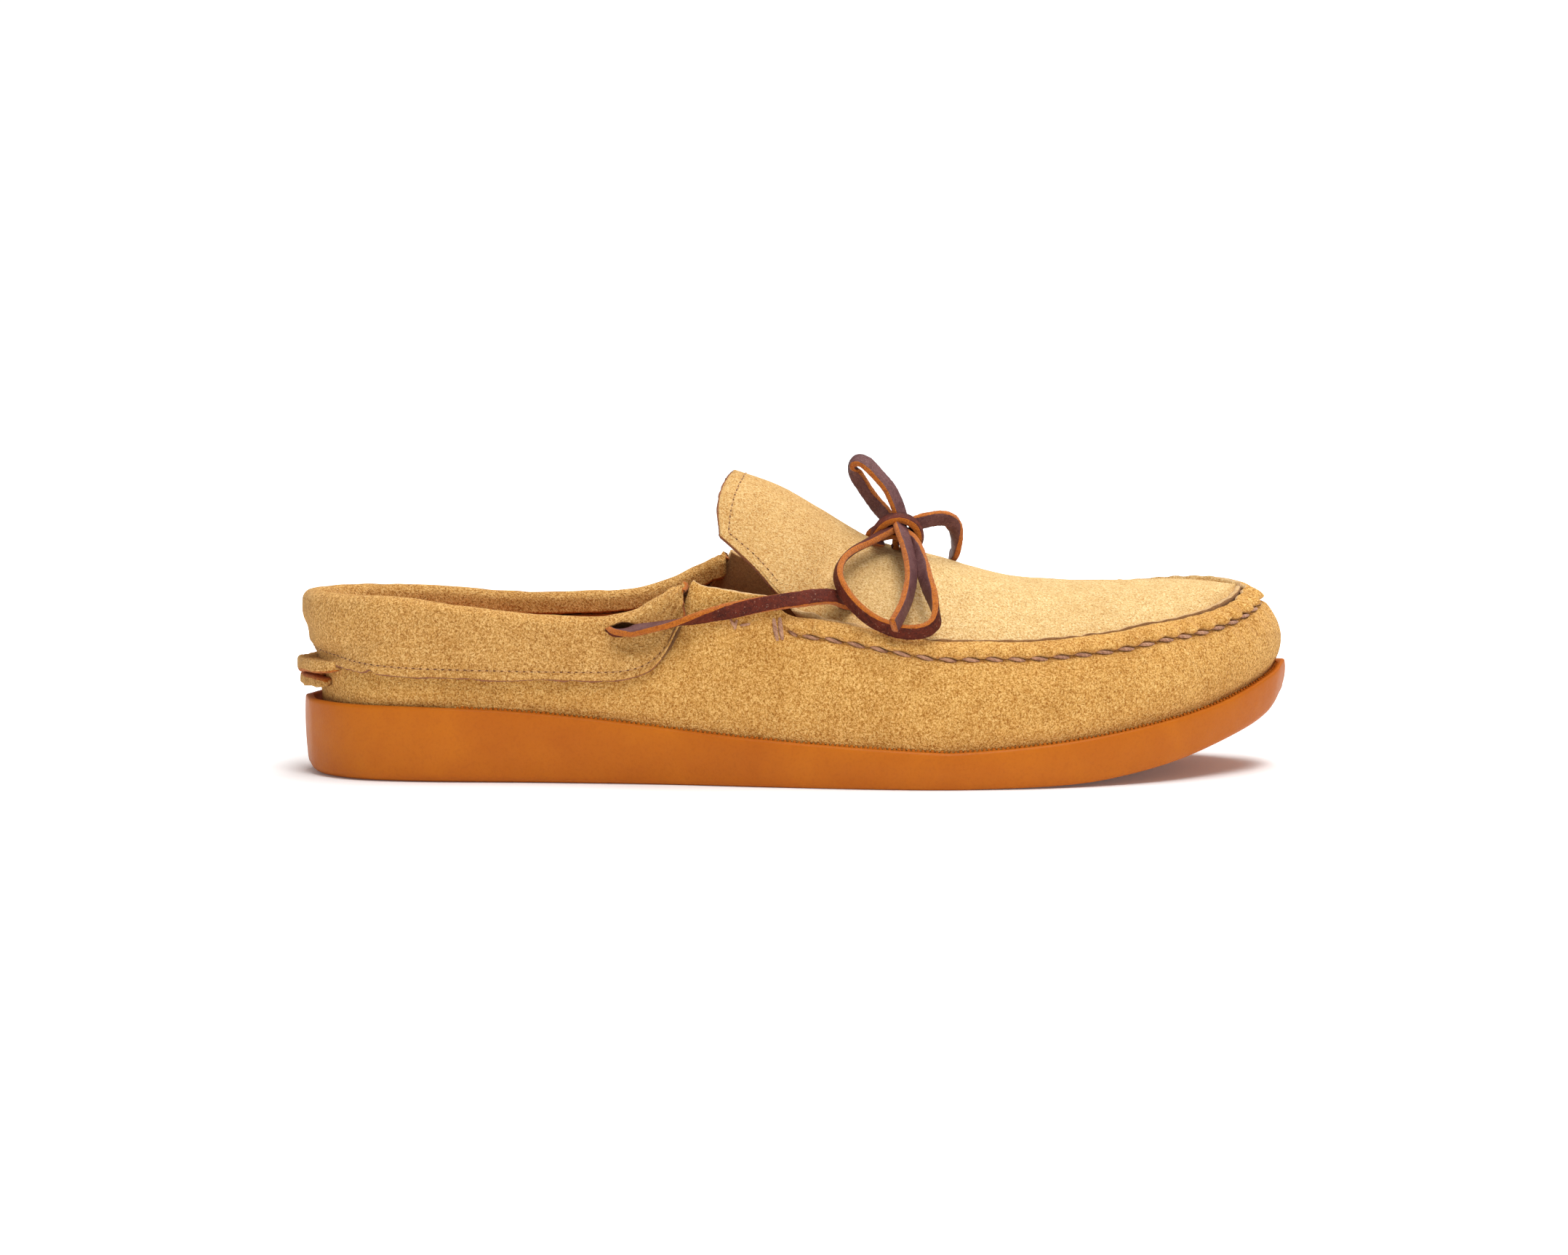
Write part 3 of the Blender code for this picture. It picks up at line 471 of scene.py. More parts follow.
def away_from_foot(p):
    middle_x = np.clip(p[..., 0], -105.0, 95.0)
    return np.stack([p[..., 0] - middle_x, p[..., 1], (p[..., 2] - 27.0) * 1.2], -1)


def upwards(p):
    return np.zeros_like(p) + np.array([0.0, 0.0, 1.0])


def tubes(name, lines, radii, looks, sides=8, smooth=True, slots=None):
    """One mesh of round closed tubes, each with its own line of points and radii along it."""
    points, faces, face_slots = [], [], []
    for number, (line, radius) in enumerate(zip(lines, radii)):
        line = np.asarray(line, float)
        radius = np.zeros(len(line)) + radius
        t = np.gradient(line, axis=0)
        t /= np.linalg.norm(t, axis=1, keepdims=True)
        a = np.cross(t, [0.13, 0.29, 0.95])
        a /= np.linalg.norm(a, axis=1, keepdims=True)
        b = np.cross(t, a)
        first = len(points)
        for p, r, x, y in zip(line, radius, a, b):
            for k in range(sides):
                angle = 2 * math.pi * k / sides
                points.append(p + r * (x * math.cos(angle) + y * math.sin(angle)))
        slot = 0 if slots is None else slots[number]
        for i in range(len(line) - 1):
            for k in range(sides):
                m = (k + 1) % sides
                faces.append((first + i * sides + k, first + i * sides + m,
                              first + (i + 1) * sides + m, first + (i + 1) * sides + k))
                face_slots.append(slot)
        faces.append(tuple(first + k for k in range(sides))[::-1])
        faces.append(tuple(first + (len(line) - 1) * sides + k for k in range(sides)))
        face_slots += [slot, slot]
    return mesh_piece(name, np.array(points), faces, looks, face_slots, smooth)


# --- materials ----------------------------------------------------------------------------------
def colour(red, green, blue):
    """An sRGB colour of 0 to 255 as the linear one that shaders take."""
    c = np.array([red, green, blue]) / 255
    linear = np.where(c < 0.04045, c / 12.92, ((c + 0.055) / 1.055) ** 2.4)
    return (*linear.tolist(), 1.0)


class Look:
    """A node material in the making; its textures are placed in the frame's metres."""

    def __init__(self, name):
        self.material = bpy.data.materials.new(name)
        self.material.use_nodes = True
        self.tree = self.material.node_tree
        self.shader = self.tree.nodes["Principled BSDF"]
        self.coordinates = self.tree.nodes.new("ShaderNodeTexCoord").outputs["Object"]

    def node(self, kind, inputs=(), **settings):
        n = self.tree.nodes.new(kind)
        for key, value in settings.items():
            setattr(n, key, value)
        for key, value in dict(inputs).items():
            if isinstance(value, bpy.types.NodeSocket):
                self.tree.links.new(value, n.inputs[key])
            else:
                n.inputs[key].default_value = value
        return n

    def noise(self, size_mm, detail=3.0, roughness=0.55, distortion=0.0, vector=None):
        n = self.node("ShaderNodeTexNoise", {
            "Vector": vector or self.coordinates, "Scale": 1000.0 / size_mm, "Detail": detail,
            "Roughness": roughness, "Distortion": distortion})
        return n.outputs["Fac"]

    def ramp(self, value, stops):
        n = self.node("ShaderNodeValToRGB", {"Fac": value})
        while len(n.color_ramp.elements) < len(stops):
            n.color_ramp.elements.new(0.5)
        for e, (position, c) in zip(n.color_ramp.elements, stops):
            e.position = position
            e.color = c
        return n.outputs["Color"]

    def mix(self, amount, a, b, blend="MIX"):
        n = self.node("ShaderNodeMix", data_type="RGBA", blend_type=blend)
        for key, value in ((0, amount), (6, a), (7, b)):
            if isinstance(value, bpy.types.NodeSocket):
                self.tree.links.new(value, n.inputs[key])
            else:
                n.inputs[key].default_value = value
        return n.outputs[2]

    def maths(self, operation, a, b=0.0, c=0.0):
        n = self.node("ShaderNodeMath", operation=operation)
        for key, value in enumerate((a, b, c)):
            if isinstance(value, bpy.types.NodeSocket):
                self.tree.links.new(value, n.inputs[key])
            else:
                n.inputs[key].default_value = value
        return n.outputs[0]

    def raise_by(self, height, distance_mm, strength=1.0, under=None):
        inputs = {"Height": height, "Distance": distance_mm * 0.001, "Strength": strength}
        if under is not None:
            inputs["Normal"] = under
        return self.node("ShaderNodeBump", inputs).outputs["Normal"]

    def finish(self, **inputs):
        names = {"base": "Base Color", "roughness": "Roughness", "normal": "Normal",
                 "specular": "Specular IOR Level", "sheen": "Sheen Weight",
                 "sheen_roughness": "Sheen Roughness", "sheen_tint": "Sheen Tint",
                 "subsurface": "Subsurface Weight", "radius": "Subsurface Radius",
                 "subsurface_scale": "Subsurface Scale", "coat": "Coat Weight",
                 "coat_roughness": "Coat Roughness"}
        for key, value in inputs.items():
            socket = self.shader.inputs[names[key]]
            if isinstance(value, bpy.types.NodeSocket):
                self.tree.links.new(value, socket)
            else:
                socket.default_value = value
        return self.material


def suede(name, dark, middle, light, blotch=0.5, painted_shade_below=None):
    """Napped suede: curly fibres half a millimetre long over softer and wider blotches.

    Where x is less than the last argument, the colour is darkened to a browner tone: painted shade on the
    tongue, against the brighter apron.
    """
    k = Look(name)
    curls = k.noise(0.58, 2.0, 0.55, 0.7)
    specks = k.noise(0.36, 1.0, 0.5, 0.4)
    grain = k.maths("MULTIPLY_ADD", specks, 0.35, k.maths("MULTIPLY", curls, 0.65))
    base = k.ramp(grain, [(0.37, dark), (0.50, middle), (0.63, light)])
    patches = k.noise(17.0, 4.0, 0.62, 0.6)
    shade = k.ramp(patches, [(0.34, (0.84, 0.78, 0.70, 1)), (0.5, (0.98, 0.97, 0.96, 1)),
                             (0.64, (1.0, 1.0, 1.0, 1))])
    base = k.mix(blotch, base, shade, "MULTIPLY")
    streaks = k.noise(4.6, 3.0, 0.6, 1.0)
    shade = k.ramp(streaks, [(0.36, (0.86, 0.81, 0.75, 1)), (0.52, (1, 1, 1, 1))])
    base = k.mix(0.5, base, shade, "MULTIPLY")
    # Painted shade: a darker, browner colour behind the given x, for the tongue.
    if painted_shade_below is not None:
        x = k.node("ShaderNodeSeparateXYZ", {0: k.coordinates}).outputs["X"]
        near = k.node("ShaderNodeMapRange", {
            "Value": x, "From Min": row((painted_shade_below + 14.0, 0, 0))[0],
            "From Max": row((painted_shade_below - 14.0, 0, 0))[0]}).outputs["Result"]
        base = k.mix(near, base, (0.86, 0.78, 0.68, 1), "MULTIPLY")
    soft = k.raise_by(k.noise(3.8, 3.0, 0.6, 0.8), 0.55, 0.6)
    normal = k.raise_by(grain, 0.75, 1.0, soft)
    return k.finish(base=base, roughness=0.95, specular=0.05, normal=normal, sheen=0.18,
                    sheen_roughness=0.4, sheen_tint=(1.0, 0.84, 0.60, 1))


def flesh(name, dark, light):
    """The fibrous cut edge or back of a hide."""
    k = Look(name)
    fibres = k.noise(0.7, 4.0, 0.7, 1.8)
    base = k.ramp(fibres, [(0.3, dark), (0.68, light)])
    normal = k.raise_by(fibres, 0.5, 0.9)
    return k.finish(base=base, roughness=0.9, specular=0.15, normal=normal, sheen=0.15)


def rawhide(name, dark, middle, dust, gloss, dusty):
    """Oiled lace leather: a dark pebbled face with paler dust in its scuffs."""
    k = Look(name)
    pebbles = k.noise(0.7, 3.0, 0.7, 0.9)
    cloudy = k.noise(5.0, 3.0, 0.6)
    base = k.ramp(k.maths("MULTIPLY_ADD", pebbles, 0.6, k.maths("MULTIPLY", cloudy, 0.4)),
                  [(0.40, dark), (0.60, middle)])
    scuffs = k.ramp(k.noise(0.55, 2.0, 0.7, 0.5), [(0.64, (0, 0, 0, 1)), (0.74, (1, 1, 1, 1))])
    base = k.mix(k.maths("MULTIPLY", scuffs, dusty), base, dust)
    normal = k.raise_by(pebbles, 0.45, 0.9)
    return k.finish(base=base, roughness=gloss, specular=0.25, normal=normal)


def gum_rubber(name):
    """Honey-coloured gum rubber with a dull satin skin and faint mottling."""
    k = Look(name)
    clouds = k.noise(24.0, 4.0, 0.55, 0.4)
    base = k.ramp(clouds, [(0.30, colour(181, 94, 6)), (0.52, colour(187, 100, 8)),
                           (0.72, colour(194, 107, 10))])
    specks = k.ramp(k.noise(0.8, 2.0, 0.6), [(0.34, (0.86, 0.82, 0.78, 1)), (0.50, (1, 1, 1, 1))])
    base = k.mix(0.4, base, specks, "MULTIPLY")
    fine = k.raise_by(k.noise(0.6, 3.0, 0.6), 0.10, 0.6)
    normal = k.raise_by(k.noise(9.0, 2.0, 0.5), 0.25, 0.4, fine)
    rough = k.maths("MULTIPLY_ADD", k.noise(3.0, 3.0), 0.2, 0.42)
    return k.finish(base=base, roughness=rough, specular=0.22, normal=normal, subsurface=0.08,
                    radius=(1.0, 0.35, 0.08), subsurface_scale=0.003)


def smooth_leather(name, dark, light):
    """Vegetable-tanned lining leather with fine pores and foot-worn clouds."""
    k = Look(name)
    clouds = k.noise(20.0, 4.0, 0.6, 0.6)
    base = k.ramp(clouds, [(0.3, dark), (0.7, light)])
    pores = k.noise(0.8, 3.0, 0.7)
    base = k.mix(0.3, base, k.ramp(pores, [(0.35, (0.7, 0.66, 0.6, 1)), (0.55, (1, 1, 1, 1))]),
                 "MULTIPLY")
    normal = k.raise_by(pores, 0.16, 0.6)
    return k.finish(base=base, roughness=0.55, specular=0.35, normal=normal)


def waxed_thread(name, dark, light):
    """Twisted thread: the plies show as fine slanting bands."""
    k = Look(name)
    plies = k.node("ShaderNodeTexWave", {
        "Vector": k.coordinates, "Scale": 430.0, "Distortion": 5.0, "Detail": 2.0,
        "Detail Scale": 2.0}, bands_direction="DIAGONAL").outputs["Fac"]
    base = k.ramp(plies, [(0.0, dark), (0.6, light)])
    base = k.mix(0.6, base, k.ramp(k.noise(2.0, 3.0), [(0.35, dark), (0.6, light)]))
    normal = k.raise_by(plies, 0.2, 0.8)
    return k.finish(base=base, roughness=0.7, specular=0.25, normal=normal, sheen=0.2)


# --- the looks ----------------------------------------------------------------------------------
side_suede = suede("side_suede", colour(170, 110, 48), colour(217, 162, 86),
                   colour(247, 202, 128), 0.65)
collar_suede = suede("collar_suede", colour(162, 108, 52), colour(210, 157, 87),
                     colour(240, 196, 128), 0.7)
# A lighter, paler copy of the side suede for the upward-facing apron and tongue: painted light from above,
# on the same hide as the sides.
top_suede_painted_lit = suede("top_suede_painted_lit", colour(202, 152, 92), colour(233, 195, 132),
                  colour(250, 222, 168), 0.5, 20.0)
suede_back = flesh("suede_back", colour(128, 82, 42), colour(182, 132, 80))
raw_edge = flesh("raw_edge", colour(150, 82, 34), colour(226, 166, 98))
# A paler copy of the raw edge for the vamp's and apron's top edges, which face the top light: partly the
# cut edge's own paler tone, partly painted highlight.
pale_edge = flesh("pale_edge", colour(190, 130, 68), colour(250, 216, 156))
# A dark copy of the cut-edge colour for the collar's edges: painted shade for the shadow line under the
# collar's lower edge.
collar_edge = flesh("collar_edge", colour(96, 44, 18), colour(196, 124, 68))
orange_flesh = flesh("orange_flesh", colour(140, 58, 8), colour(222, 130, 38))
lace_rough = rawhide("lace_rough", colour(62, 16, 6), colour(106, 38, 18),
                     colour(206, 160, 132), 0.7, 0.6)
lace_smooth = rawhide("lace_smooth", colour(88, 50, 50), colour(116, 76, 74),
                      colour(150, 112, 104), 0.45, 0.2)
lining_leather = smooth_leather("lining_leather", colour(184, 98, 26), colour(204, 116, 36))
rubber = gum_rubber("gum_rubber")
seam_thread = waxed_thread("seam_thread", colour(136, 90, 68), colour(196, 148, 116))
fine_thread = waxed_thread("fine_thread", colour(176, 122, 66), colour(226, 178, 116))
# A darker copy of the thread, for the tube along the seam's crease and the marks at the needle holes:
# painted shade in these recesses.
painted_recess_shade = waxed_thread("painted_recess_shade", colour(88, 50, 22), colour(126, 80, 40))


# --- the sole -----------------------------------------------------------------------------------
def outsole():
    count = 720
    u = np.arange(count) / count
    lift = edge_round(sole_x(u))

    def ring(inset, share, rise=0.0):
        def height(x):
            return tread(x) * (1 - share) + (rim_top(x) - 1.0) * share
        return sole_point(u, inset, height, rise)

    rings = []
    for degrees in np.linspace(0, 90, 6):
        a = math.radians(degrees)
        rings.append(ring(0.6 + (0.2 + 1.1 * lift) * (1 - math.sin(a)), 0.0,
                          lift * (1 - math.cos(a))))
    for k in np.linspace(0, 1, 10)[1:]:
        belly = 0.35 * 4 * k * (1 - k)
        rings.append(ring(0.6 * (1 - k) - belly, k, lift * (1 - k)))
    for inset, rise in ((0.1, -0.5), (0.35, -0.15), (0.8, 0.0), (RIM_WIDTH - 0.4, 0.0),
                        (RIM_WIDTH - 0.1, -0.12), (RIM_WIDTH, -0.5)):
        rings.append(sole_point(u, inset, rim_top, rise))
    rings.append(sole_point(u, RIM_WIDTH + 0.2, platform))
    faces = []
    for r in range(len(rings) - 1):
        for i in range(count):
            j = (i + 1) % count
            faces.append((r * count + i, r * count + j, (r + 1) * count + j, (r + 1) * count + i))
    for first in (0, (len(rings) - 1) * count):
        for i in range(count // 2):
            corners = (first + i, first + i + 1, first + (count - i - 1) % count,
                       first + (count - i) % count)
            faces.append(tuple(dict.fromkeys(corners)))
    obj = mesh_piece("sole_unit", np.vstack(rings), faces, [rubber])
    turn_out(obj)
    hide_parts("outsole")
    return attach(obj, "shoe")


def rim_teeth():
    """The fine serration moulded along the rim, against the suede."""
    steps = np.linalg.norm(np.diff(SOLE_LINE, axis=0), axis=1)
    travelled = np.concatenate([[0], np.cumsum(steps)])
    number = round(travelled[-1] / TOOTH_PITCH)
    places = (np.arange(number) + 0.5) / number * travelled[-1]
    u = np.interp(places, travelled, np.linspace(0, 1, len(SOLE_LINE)))
    u = u[sole_x(u) > -96.0]
    base = sole_point(u, RIM_WIDTH + 0.1, rim_top, -0.25)
    n = np.concatenate([outward(u), np.zeros((len(u), 1))], 1)
    t = np.stack([-n[:, 1], n[:, 0], n[:, 2]], 1)
    up = np.array([0, 0, 1.0])
    size = 1 + 0.2 * wave_noise(u * 700, 1.1)[:, None]
    points, faces = [], []
    shape = ((-0.6, -0.45, 0), (0.6, -0.45, 0), (0.6, 0.45, 0), (-0.6, 0.45, 0),
             (-0.3, -0.45, 0.72), (0.3, -0.45, 0.72), (0.25, 0.0, 0.55), (-0.25, 0.0, 0.55))
    for a, b, c in shape:
        points.append(base + t * a * size + n * b + up * c * size)
    points = np.stack(points, 1).reshape(-1, 3)
    for k in range(len(u)):
        v = 8 * k
        faces += [(v, v + 1, v + 5, v + 4), (v + 1, v + 2, v + 6, v + 5),
                  (v + 2, v + 3, v + 7, v + 6), (v + 3, v, v + 4, v + 7),
                  (v + 4, v + 5, v + 6, v + 7), (v + 3, v + 2, v + 1, v)]
    obj = mesh_piece("rim_serration", points, faces, [rubber])
    turn_out(obj)
    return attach(obj, "shoe")


def insole():
    """The footbed: one padded slab under a leather sock, slightly dished to the foot."""
    count = 360
    u = np.arange(count) / count
    inset = RIM_WIDTH + 1.7 + SUEDE + 0.6 + heel_gap(u)
    low = GAP + SUEDE + GAP
    top = low + FOAM + GAP + SOCK
    rings = [sole_point(u, inset + 0.5, platform, low), sole_point(u, inset, platform, low + 1.0),
             sole_point(u, inset, platform, top - 0.5), sole_point(u, inset + 0.5, platform, top)]
    edge = rings[-1]
    middle = edge.copy()
    middle[:, 1] = (edge[:, 1] + edge[(-np.arange(count)) % count, 1]) / 2
    middle[:, 0] = np.clip(edge[:, 0], -112.0, 112.0)
    for k in np.linspace(0, 1, 16)[1:-1]:
        p = edge + (middle - edge) * k
        p[:, 2] = platform(p[:, 0]) + top - 0.9 * step_up(k, 0.1, 0.8) + 0.15 * noise(p, 16.0, 2.0)
        rings.append(p)
    faces, slots = [], []
    for r in range(len(rings) - 1):
        for i in range(count):
            j = (i + 1) % count
            faces.append((r * count + i, r * count + j, (r + 1) * count + j, (r + 1) * count + i))
            slots.append(0)
    for first in (0, (len(rings) - 1) * count):
        for i in range(count // 2):
            corners = (first + i, first + i + 1, first + (count - i - 1) % count,
                       first + (count - i) % count)
            faces.append(tuple(dict.fromkeys(corners)))
            slots.append(0)
    obj = mesh_piece("footbed", np.vstack(rings), faces, [lining_leather], slots)
    turn_out(obj)
    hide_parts("sock_lining", "footbed_foam")
    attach(obj, "shoe")
    return obj


# --- the hand-sewn seam -------------------------------------------------------------------------
seam_from, seam_to = u_at_x(SEAM_START_X), u_at_x(SEAM_START_X, medial=True)
seam_u = np.linspace(seam_from, seam_to, 2001)
seam_line = at(TOP_LINE, seam_u)
seam_travel = np.concatenate([[0], np.cumsum(np.linalg.norm(np.diff(seam_line, axis=0), axis=1))])
stitch_count = round(seam_travel[-1] / STITCH_PITCH)


def seam_phase(u):
    """How many stitches along the seam u lies; stitches are centred on whole numbers."""
    return np.interp(u, seam_u, seam_travel) / seam_travel[-1] * stitch_count


def in_seam(u):
    x = at(TOP_LINE, u)[..., 0]
    return step_up(x, SEAM_START_X - 2.6, SEAM_START_X + 0.6)


def ridge_height(u):
    x = at(TOP_LINE, u)[..., 0]
    return 4.9 + 0.5 * bump(x, 25.0, 30.0) - 0.5 * step_up(x, 80.0, 125.0)


def vamp_face(u, t):
    """The vamp's outer face with its ridge, puckers and soft unevenness."""
    u, t = np.broadcast_arrays(np.asarray(u, float), np.asarray(t, float))
    p = wall(u, t)
    length = np.linalg.norm(at(TOP_LINE, u) - wall(u, 0.0), axis=-1)
    below = (1 - t) * length
    ridge = ridge_height(u)
    seam = in_seam(u)
    x = p[..., 0]
    beat = np.cos(2 * math.pi * seam_phase(u))
    toe = step_up(x, 70.0, 120.0)
    out = (1.45 - 0.45 * beat) * np.sin(math.pi * np.clip(below / ridge, 0, 1)) ** 0.6
    out = out - (1.5 + 0.2 * beat) * bump(below, ridge, 0.75)
    out = out - (0.26 + 0.34 * toe) * beat * np.exp(-np.abs(below - ridge) / (2.2 + 3.0 * toe))
    s_seam = seam_phase(u) * STITCH_PITCH
    pleats = 0.45 * wave_noise(s_seam, 2.8, 21.0) + 0.25 * wave_noise(s_seam, 1.7, 22.0)
    out = out + (1 - 0.4 * toe) * pleats * (below < ridge) * np.sin(math.pi * np.clip(below / ridge, 0, 1))
    out = out * seam
    top_edge = step_up(3.0 - below, 0.0, 3.0)
    s = np.interp(u, np.linspace(0, 1, len(TOP_LINE)), TOP_TRAVEL)
    ruffle = 0.35 * wave_noise(s, 7.0, 1.0) + 0.22 * wave_noise(s, 2.4, 2.0)
    out = out + top_edge * (0.25 * wave_noise(s, 5.0, 3.0) + 0.15 * wave_noise(s, 1.9, 5.0))
    out = out + (0.34 * noise(p, 21.0, 1.0) + 0.13 * noise(p, 7.0, 2.0) + 0.05 * noise(p, 2.6, 3.0))
    out = out * step_up(t, -0.02, 0.06)
    p[..., :2] += outward(u) * out[..., None]
    p[..., 2] += top_edge * ruffle * (0.5 + 0.5 * (1 - seam) + 0.15 * seam * beat)
    return p


TOP_TRAVEL = np.concatenate([[0], np.cumsum(np.linalg.norm(np.diff(TOP_LINE, axis=0), axis=1))])


def vamp():
    count = 760
    u = np.arange(count) / count
    gap = heel_gap(u)
    rows = [sole_point(u, RIM_WIDTH + 1.7 + gap, platform, GAP),
            sole_point(u, RIM_WIDTH + 0.7 + gap, platform, GAP + 1.4)]
    for t in [*np.linspace(0, 0.7, 20), *np.linspace(0.72, 1.0, 30)]:
        rows.append(vamp_face(u, t))
    obj = leather("vamp_leather", np.array(rows), away_from_foot, SUEDE,
                  [side_suede, suede_back, pale_edge], closed=True, fray=0.2)
    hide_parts("vamp")
    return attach(obj, "shoe")


def capsule(a, b, bulge, radius, steps=7):
    """A stitch: a short thread from a to b that stands out by bulge in its middle."""
    k = np.linspace(0, 1, steps)[:, None]
    line = a + (b - a) * k + bulge * np.sin(math.pi * k)
    return line, radius * np.sin(math.pi * (0.12 + 0.76 * k[:, 0])) ** 0.5


def seam_surface(u, drop, out):
    """A point on the vamp drop millimetres under its top edge, and out from it."""
    length = np.linalg.norm(at(TOP_LINE, u) - wall(u, 0.0), axis=-1)
    p = vamp_face(u, 1 - drop / length)
    p[..., :2] += outward(u) * out
    return p


def seam_stitches():
    """The hand-sewn stitches in the crease under the ridge, and a thin dark tube sunk along the crease
    between them: painted shade for the crease.
    """
    lines, radii = [], []
    for k in range(stitch_count + 1):
        middle = float(np.interp(k, seam_phase(seam_u), seam_u))
        reach = 0.34 * STITCH_PITCH / seam_travel[-1] * (seam_to - seam_from)
        a, b = max(middle - reach, seam_from), min(middle + reach, seam_to)
        drop = float(ridge_height(middle))
        start, end = seam_surface(a, drop - 0.35, -0.2), seam_surface(b, drop + 0.5, -0.1)
        out = np.array([*outward(middle), 0.0])
        line, radius = capsule(start, end, out * 0.30, 0.52, 9)
        lines.append(line)
        radii.append(radius)
    # A thin dark tube along the crease's bottom: painted shade.
    u = np.linspace(seam_from, seam_to, 900)
    lines.append(seam_surface(u, ridge_height(u), 0.0))
    radii.append(np.full(len(u), 0.24))
    obj = tubes("seam_stitches", lines, radii, [seam_thread, painted_recess_shade],
                slots=[0] * (stitch_count + 1) + [1])
    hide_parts("moc_seam_thread")
    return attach(obj, "shoe")


def side_tacks():
    """Thick upright stitches that end the seam at each side of the throat, and a small cross."""
    for side, medial in (("lateral", False), ("medial", True)):
        lines, radii = [], []
        for (x, drop), (far_x, far_drop), radius in TACKS:
            u, far_u = u_at_x(x, medial), u_at_x(far_x, medial)
            out = np.array([*outward(u), 0.0])
            line, radius_line = capsule(seam_surface(u, drop, 0.0),
                                        seam_surface(far_u, far_drop, 0.0), out * 0.5, radius)
            lines.append(line)
            radii.append(radius_line)
        obj = tubes(f"tack_stitches_{side}", lines, radii, [seam_thread])
        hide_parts(f"tack_{side}")
        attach(obj, "shoe")


# Each tack stitch from one (x, drop below the vamp's edge) to another, and its radius
TACKS = [
    ((-6.4, 5.2), (-5.8, 10.6), 0.62), ((-4.6, 2.8), (-4.3, 8.6), 0.66),
    ((-18.6, 7.6), (-17.2, 10.2), 0.42), ((-16.8, 7.8), (-17.6, 10.4), 0.42),
    ((-16.0, 9.2), (-13.2, 8.4), 0.38),
]


# --- the apron and tongue, one skin -------------------------------------------------------------
PANEL_EDGE_INSET = 3.5
TOE_EDGE_INSET = 2.3
APRON_SUEDE = 1.4
TONGUE_SUEDE = 1.5
TONGUE_ROW_INSET = 3.2
THROAT_HALF = 0.033


def panel_edge(u):
    p, n = at(TOP_LINE, u).copy(), outward(u)
    p[:2] -= n * (TOE_EDGE_INSET + (PANEL_EDGE_INSET - TOE_EDGE_INSET) * abs(n[1]))
    p[2] -= 1.0
    return p


def top_panel():
    """Rows of (lateral edge, medial edge, crown, fullness, lateral u, medial u), toe to tip."""
    start, far_start = u_at_x(THROAT_X), u_at_x(THROAT_X, medial=True)
    rows = []
    for f in np.linspace(1, 0, 92):
        u, far_u = start + (TOE_END - start) * f, far_start + (1 - TOE_END - far_start) * f
        lateral, medial = panel_edge(u), panel_edge(far_u)
        lead = CROWN_LEAD * max(0.0, 1 - max(lateral[0], 0) / 36.0) ** 1.5
        x = (lateral[0] + medial[0]) / 2 + lead
        crown = (x, (lateral[1] + medial[1]) / 2, float(crown_height(x)))
        rows.append([*lateral, *medial, *crown, 2.0 + 0.6 * f, u, far_u])
    share = np.linspace(0.08, 1, 24)
    lateral, medial, crown = (along(smooth_line(points), share)
                              for points in (TONGUE_LATERAL, TONGUE_MEDIAL, TONGUE_CROWN))
    for a, b, c in zip(lateral, medial, crown):
        rows.append([*a, *b, *c, 2.0, start, far_start])
    rows = np.array(rows)
    smoothed = rows.copy()
    for k in range(1, len(rows) - 1):
        reach = int(min(k, len(rows) - 1 - k, 5) * (abs(k - 91) < 9))
        smoothed[k] = rows[k - reach:k + reach + 1].mean(0)
    return smoothed


